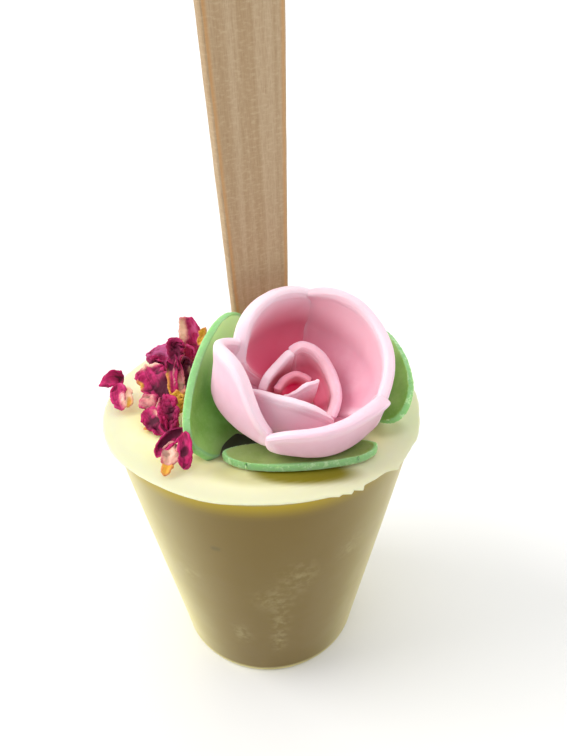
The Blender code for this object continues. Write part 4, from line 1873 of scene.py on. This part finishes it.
@dataclass
class DriedPetals:
    """The dried rose petals that lie on the chocolate, to the left of the rose.

    Attributes:
        thickness: Their thickness.
        rounding: How far in their edges are rounded.
        squareness: How square their edges are left.
        cell: The size of their cells, in millimetres.
        fewest: The fewest cells that a lobe has each way.
        fold_seed: Picks how their folds are bent.
        petals: The petals.
    """

    thickness: float = 0.3 * MM
    rounding: float = 0.18 * MM
    squareness: float = 2.0
    cell: float = 0.13
    fewest: int = 10
    fold_seed: int = 1
    petals: tuple[DriedPetal, ...] = (
        DriedPetal("dry_petal_edge", (
            Lobe(
                ((-23.3, 1.4, 2.3), (-24.9, 0.6, 2.9), (-27.0, -0.2, 2.2)),
                facing=(-0.1, -0.6, 0.8), width=3.1, ends=(1.0, 0.3), roll=90, crumple=0.4,
                dark=Patch(0.2, 0.2, 0.7, 0.4, 0.6),
            ),
            Lobe(
                ((-22.0, -5.2, 0.9), (-23.0, -3.4, 2.2), (-23.4, -0.4, 3.0)),
                facing=(0.0, -0.6, 0.8), width=2.7, ends=(0.6, 0.9), roll=90, crumple=0.4,
                dark=Patch(-0.2, 0.6, 2.0, 0.8, -0.4), cream=Patch(0.6, 0.3, 0.6, 0.45, 0.6),
            ),
            Lobe(
                ((-21.5, -5.0, 1.2), (-21.5, -3.2, 2.0), (-22.2, -1.0, 2.6)),
                facing=(0.5, -0.6, 0.6), width=1.5, ends=(0.8, 0.6), roll=110, crumple=0.3,
                cream=ALL_OVER, gold=Patch(0.2, 0.2, 0.8, 0.35, 0.7),
            ),
        )),
        DriedPetal("dry_petal_tall", (
            Lobe(
                ((-12.7, 8.8, 1.7), (-12.5, 8.4, 6.2), (-12.2, 7.4, 10.9)),
                facing=(-0.3, -0.8, 0.5), width=5.0, ends=(0.85, 0.8), roll=60, crumple=0.25,
                frill=0.04, rounding=0.1,
                dark=Patch(0.45, 0.72, 0.6, 0.4, -0.5), cream=Patch(-0.75, 0.7, 0.4, 0.35, 1.0),
            ),
            Lobe(
                ((-13.0, 7.4, 1.6), (-12.9, 7.2, 4.1), (-12.9, 7.0, 6.0)),
                facing=(-0.1, -0.9, 0.3), width=2.8, ends=(0.9, 0.7), roll=90, crumple=0.5,
                frill=0.2,
                dark=Patch(0.0, 0.8, 1.0, 0.4, -0.6),
            ),
            Lobe(
                ((-11.2, 6.4, 6.2), (-10.3, 6.2, 8.3), (-9.6, 5.8, 9.9)),
                facing=(-0.3, -0.9, 0.1), width=1.3, ends=(0.6, 0.5), roll=90, crumple=0.25,
                frill=0.1, gold=ALL_OVER,
            ),
        )),
        DriedPetal("dry_petal_back", (
            Lobe(
                ((-16.4, 4.6, 1.3), (-17.0, 6.4, 3.8), (-17.5, 7.2, 6.1)),
                facing=(-0.1, -0.7, 0.6), width=6.6, ends=(0.8, 0.9), roll=60, crumple=0.4,
                frill=0.1, rounding=0.2,
                dark=Patch(0.4, 0.85, 1.2, 0.42, -1.5),
            ),
            Lobe(
                ((-16.8, 4.0, 1.6), (-18.1, 5.0, 3.3), (-20.3, 6.2, 3.9)),
                facing=(-0.1, -0.8, 0.5), width=2.4, ends=(0.9, 0.6), roll=90, crumple=0.6,
                frill=0.25,
                dark=Patch(-0.3, 0.3, 1.4, 0.7, 0.95),
            ),
        )),
        DriedPetal("dry_petal_broad", (
            Lobe(
                ((-15.7, -2.7, 1.0), (-17.7, 0.0, 2.8), (-19.8, 3.2, 4.2)),
                facing=(0.1, -0.7, 0.7), width=5.4, ends=(0.75, 0.8), roll=80, crumple=0.4,
                rounding=0.25,
                dark=Patch(0.5, 0.25, 0.8, 0.35, 1.0), cream=Patch(0.3, 1.02, 1.0, 0.12, 1.0),
                gold=Patch(-1.0, 0.6, 0.25, 0.2, 0.9),
            ),
        )),
        DriedPetal("dry_petal_strip", (
            Lobe(
                ((-13.9, -3.8, 1.6), (-14.4, -1.4, 4.6), (-14.3, 1.4, 7.4)),
                facing=(-0.2, -0.8, 0.5), width=2.3, ends=(0.5, 1.1), roll=110, crumple=0.3,
                frill=0.08,
                dark=Patch(0.0, 0.95, 1.5, 0.3, 0.7), gold=Patch(-1.0, 0.1, 0.55, 0.7, 1.0),
            ),
            Lobe(
                ((-12.8, -4.6, 1.5), (-13.4, -1.9, 4.0), (-13.9, 0.8, 7.0)),
                facing=(0.1, -0.8, 0.5), width=1.9, ends=(0.8, 0.6), roll=90, crumple=0.25,
                frill=0.1, cream=Patch(0.0, 0.5, 3.0, 0.8, 0.42),
                gold=Patch(0.0, 0.0, 2.0, 0.3, 0.9),
            ),
            Lobe(
                ((-14.0, 0.2, 5.8), (-13.9, 1.6, 7.9), (-13.6, 2.4, 9.7)),
                facing=(-0.2, -0.9, 0.3), width=3.3, ends=(0.7, 0.95), roll=100, crumple=0.65,
                frill=0.4, rounding=0.15,
                dark=Patch(0.1, 0.4, 1.2, 0.8, 0.75),
            ),
            Lobe(
                ((-12.9, -5.8, 0.6), (-13.4, -4.8, 1.9), (-13.7, -3.4, 3.4)),
                facing=(0.0, -0.7, 0.6), width=2.7, ends=(0.9, 0.7), roll=90, crumple=0.45,
                frill=0.35, gold=ALL_OVER,
            ),
        )),
        DriedPetal("dry_petal_shade", (
            Lobe(
                ((-12.7, 1.6, 0.3), (-12.9, 3.0, 2.9), (-12.9, 3.8, 5.7)),
                facing=(-0.2, -0.9, 0.3), width=2.6, ends=(0.9, 0.8), roll=80, crumple=0.6,
                frill=0.3,
                dark=Patch(0.0, 0.5, 2.0, 2.0, 1.1), cream=Patch(0.6, 0.6, 0.4, 0.15, 0.9),
            ),
        )),
        DriedPetal("dry_petal_pale", (
            Lobe(
                ((-16.6, -6.0, 2.1), (-17.9, -5.6, 2.5), (-19.3, -5.0, 2.5)),
                facing=(0.0, -0.6, 0.8), width=2.9, ends=(0.9, 0.8), roll=70, crumple=0.35,
                frill=0.1, rounding=0.2, cream=Patch(0.2, 0.5, 1.6, 0.9, 0.5),
            ),
            Lobe(
                ((-14.3, -11.2, 0.6), (-16.2, -9.2, 1.6), (-18.1, -6.9, 2.1)),
                facing=(-0.2, -0.5, 0.8), width=3.3, ends=(0.6, 0.8), roll=80, crumple=0.55,
                frill=0.15,
                dark=Patch(0.0, 0.45, 0.6, 0.2, 0.7), cream=Patch(0.8, 0.6, 0.5, 0.25, 0.6),
            ),
            Lobe(
                ((-17.9, -9.4, 0.3), (-17.4, -9.6, 0.4), (-16.9, -9.3, 0.3)),
                facing=(0.0, 0.0, 1.0), width=0.8, ends=(0.7, 0.7), roll=60, crumple=0.15,
                frill=0.1, gold=ALL_OVER,
            ),
        )),
        DriedPetal("dry_petal_low", (
            Lobe(
                ((-13.5, -11.4, 0.7), (-14.3, -8.0, 2.3), (-15.5, -4.4, 3.1)),
                facing=(0.1, -0.6, 0.8), width=3.4, ends=(0.7, 0.85), roll=90, crumple=0.5,
                frill=0.5,
                dark=Patch(0.2, 0.4, 1.2, 0.7, 0.5), cream=Patch(-0.9, 0.9, 0.3, 0.2, 0.7),
            ),
        )),
        DriedPetal("dry_petal_arch", (
            Lobe(
                ((-14.3, -18.0, 1.5), (-12.9, -16.4, 3.2), (-10.2, -15.7, 4.6)),
                facing=(0.2, -0.7, 0.6), width=2.5, ends=(0.5, 0.9), roll=140, crumple=0.2,
                frill=0.06,
                dark=Patch(-0.4, 0.6, 0.7, 0.6, 0.9),
            ),
            Lobe(
                ((-10.4, -19.8, 0.9), (-9.9, -18.7, 3.0), (-10.4, -16.6, 4.9)),
                facing=(-0.3, -0.9, 0.3), width=2.5, ends=(0.7, 0.9), roll=120, crumple=0.25,
                frill=0.08, rounding=0.2,
                dark=Patch(-0.4, 0.5, 0.5, 0.35, 0.6),
            ),
            Lobe(
                ((-12.1, -19.2, 1.2), (-12.3, -18.0, 2.2), (-12.1, -16.8, 3.5)),
                facing=(-0.1, -0.8, 0.5), width=2.6, ends=(0.9, 0.8), roll=80, crumple=0.55,
                frill=0.2,
                dark=Patch(-0.7, 0.5, 0.3, 0.2, 0.9), cream=Patch(0.0, 0.5, 2.0, 1.5, 0.6),
            ),
            Lobe(
                ((-12.9, -20.6, 0.5), (-12.7, -19.6, 0.8), (-12.4, -18.6, 1.2)),
                facing=(0.0, -0.6, 0.8), width=1.7, ends=(0.5, 0.9), roll=90, crumple=0.3,
                frill=0.15, gold=ALL_OVER,
            ),
        )),
    )

    def build(self, finish: DriedFinish) -> list[bpy.types.Object]:
        """Builds the dried petals.

        Args:
            finish: Their tissue.

        Returns:
            The pieces, one for each lobe.
        """
        noise.seed_set(self.fold_seed)
        material, thick = finish.material(), self.thickness
        pieces = []
        for petal in self.petals:
            for number, lobe in enumerate(petal.lobes, 1):
                sizes = (lobe.width, lobe.length())
                columns, rows = (max(self.fewest, round(size / self.cell)) for size in sizes)
                shell = Shell(columns, rows, lobe.place, thick, thick, self.rounding)
                shell.squareness, shell.paint = self.squareness, lobe.marks
                mesh = shell.build()
                bmesh.ops.translate(mesh, verts=mesh.verts, vec=(0, 0, BLOCK_HEIGHT))
                name = f"{petal.node.replace('dry_', 'dried_')}_{number}"
                pieces.append(keep(mesh, name, material, [petal.node]))
        return pieces


@dataclass
class Studio:
    """The pale floor, the soft lights and the camera at the photograph's viewing angle.

    Attributes:
        eye: Where the camera stands.
        pitch, roll: How far it looks down, and how far it is turned.
        lens: Its focal length, in millimetres.
        floor_size: Half the floor's side.
        window_from, window_width, window_strength, window_colour: The window's light.
        bright, dim: How bright the room is behind and above the object, and behind the camera.
        height_weight: How much more being above the object counts for that than being behind it.
        room_fade: Where between the two the room starts to be brighter, and where it is brightest.
        white: The room's colour.
    """

    eye: Vector
    pitch: float = math.radians(30.64)
    roll: float = math.radians(-0.5)
    lens: float = 27.05
    floor_size: float = 4.0
    window_from: Point = (-0.8, 0.02, 0.6)
    window_width: float = math.radians(38)
    window_strength: float = 1.8
    window_colour: Point = (1.0, 0.985, 0.96)
    bright: float = 1.22
    dim: float = 0.12
    height_weight: float = 1.4
    room_fade: Pair = (-0.75, 0.3)
    white: Colour = (1.0, 1.0, 1.0, 1.0)

    def camera(self) -> None:
        """Sets the camera."""
        camera = bpy.data.cameras.new("camera")
        camera.lens = self.lens
        camera.clip_start = 1 * MM
        forward = Vector((0, math.cos(self.pitch), -math.sin(self.pitch)))
        right = Vector((1, 0, 0))
        up = right.cross(forward)
        cos, sin = math.cos(self.roll), math.sin(self.roll)
        turned = Matrix((right * cos + up * sin, up * cos - right * sin, -forward)).transposed()
        stand = bpy.data.objects.new("camera", camera)
        stand.matrix_world = Matrix.Translation(self.eye) @ turned.to_4x4()
        bpy.context.scene.collection.objects.link(stand)
        bpy.context.scene.camera = stand

    def window(self) -> None:
        """Adds the window's light: even, soft, and from behind on the left."""
        lamp = bpy.data.lights.new("window", "SUN")
        lamp.energy = self.window_strength
        lamp.angle = self.window_width
        lamp.color = self.window_colour
        stand = bpy.data.objects.new("window", lamp)
        stand.rotation_mode = "QUATERNION"
        stand.rotation_quaternion = Vector(self.window_from).to_track_quat("Z", "Y")
        bpy.context.scene.collection.objects.link(stand)

    def floor(self, finish: FloorFinish) -> None:
        """Lays the floor.

        Args:
            finish: Its colour.
        """
        mesh = bmesh.new()
        bmesh.ops.create_grid(mesh, x_segments=8, y_segments=8, size=self.floor_size)
        data = bpy.data.meshes.new("floor")
        mesh.to_mesh(data)
        mesh.free()
        data.materials.append(finish.material())
        floor = bpy.data.objects.new("floor", data)
        bpy.context.scene.collection.objects.link(floor)

    def air(self) -> None:
        """Lights the room: white behind the object and at its sides, dimmer behind the camera."""
        world = bpy.data.worlds.new("soft room")
        world.use_nodes = True
        tree = world.node_tree
        direction = tree.nodes.new("ShaderNodeTexCoord").outputs["Generated"]
        parts = tree.nodes.new("ShaderNodeSeparateXYZ")
        fade = tree.nodes.new("ShaderNodeMapRange")
        fade.interpolation_type = "SMOOTHSTEP"
        low, high = self.room_fade
        ranges = {"From Min": low, "From Max": high, "To Min": self.dim, "To Max": self.bright}
        for name, value in ranges.items():
            fade.inputs[name].default_value = value
        background = tree.nodes["Background"]
        background.inputs["Color"].default_value = self.white
        back_and_up = tree.nodes.new("ShaderNodeMath")
        back_and_up.operation = "MULTIPLY_ADD"
        back_and_up.inputs[1].default_value = self.height_weight
        tree.links.new(direction, parts.inputs[0])
        tree.links.new(parts.outputs["Z"], back_and_up.inputs[0])
        tree.links.new(parts.outputs["Y"], back_and_up.inputs[2])
        tree.links.new(back_and_up.outputs[0], fade.inputs["Value"])
        tree.links.new(fade.outputs["Result"], background.inputs["Strength"])
        bpy.context.scene.world = world
        bpy.context.scene.view_settings.view_transform = "Standard"

    def build(self) -> None:
        """Sets up the studio."""
        self.camera()
        self.floor(FloorFinish())
        self.air()
        self.window()


def main() -> None:
    logging.basicConfig(level=logging.INFO, format="%(message)s")
    stick = Stick()
    ChocolateBlock(stick).build(ChocolateFinish())
    stick.build(BirchFinish())
    Rose(foot=Vector((4.5 * MM, -7.2 * MM, BLOCK_HEIGHT + 2.9 * MM))).build(PinkFinish())
    Leaves().build(GreenFinish())
    DriedPetals().build(DriedFinish())
    Studio(eye=Vector((3.2, -79.5, 100.0)) * MM).build()


if __name__ == "__main__":
    main()
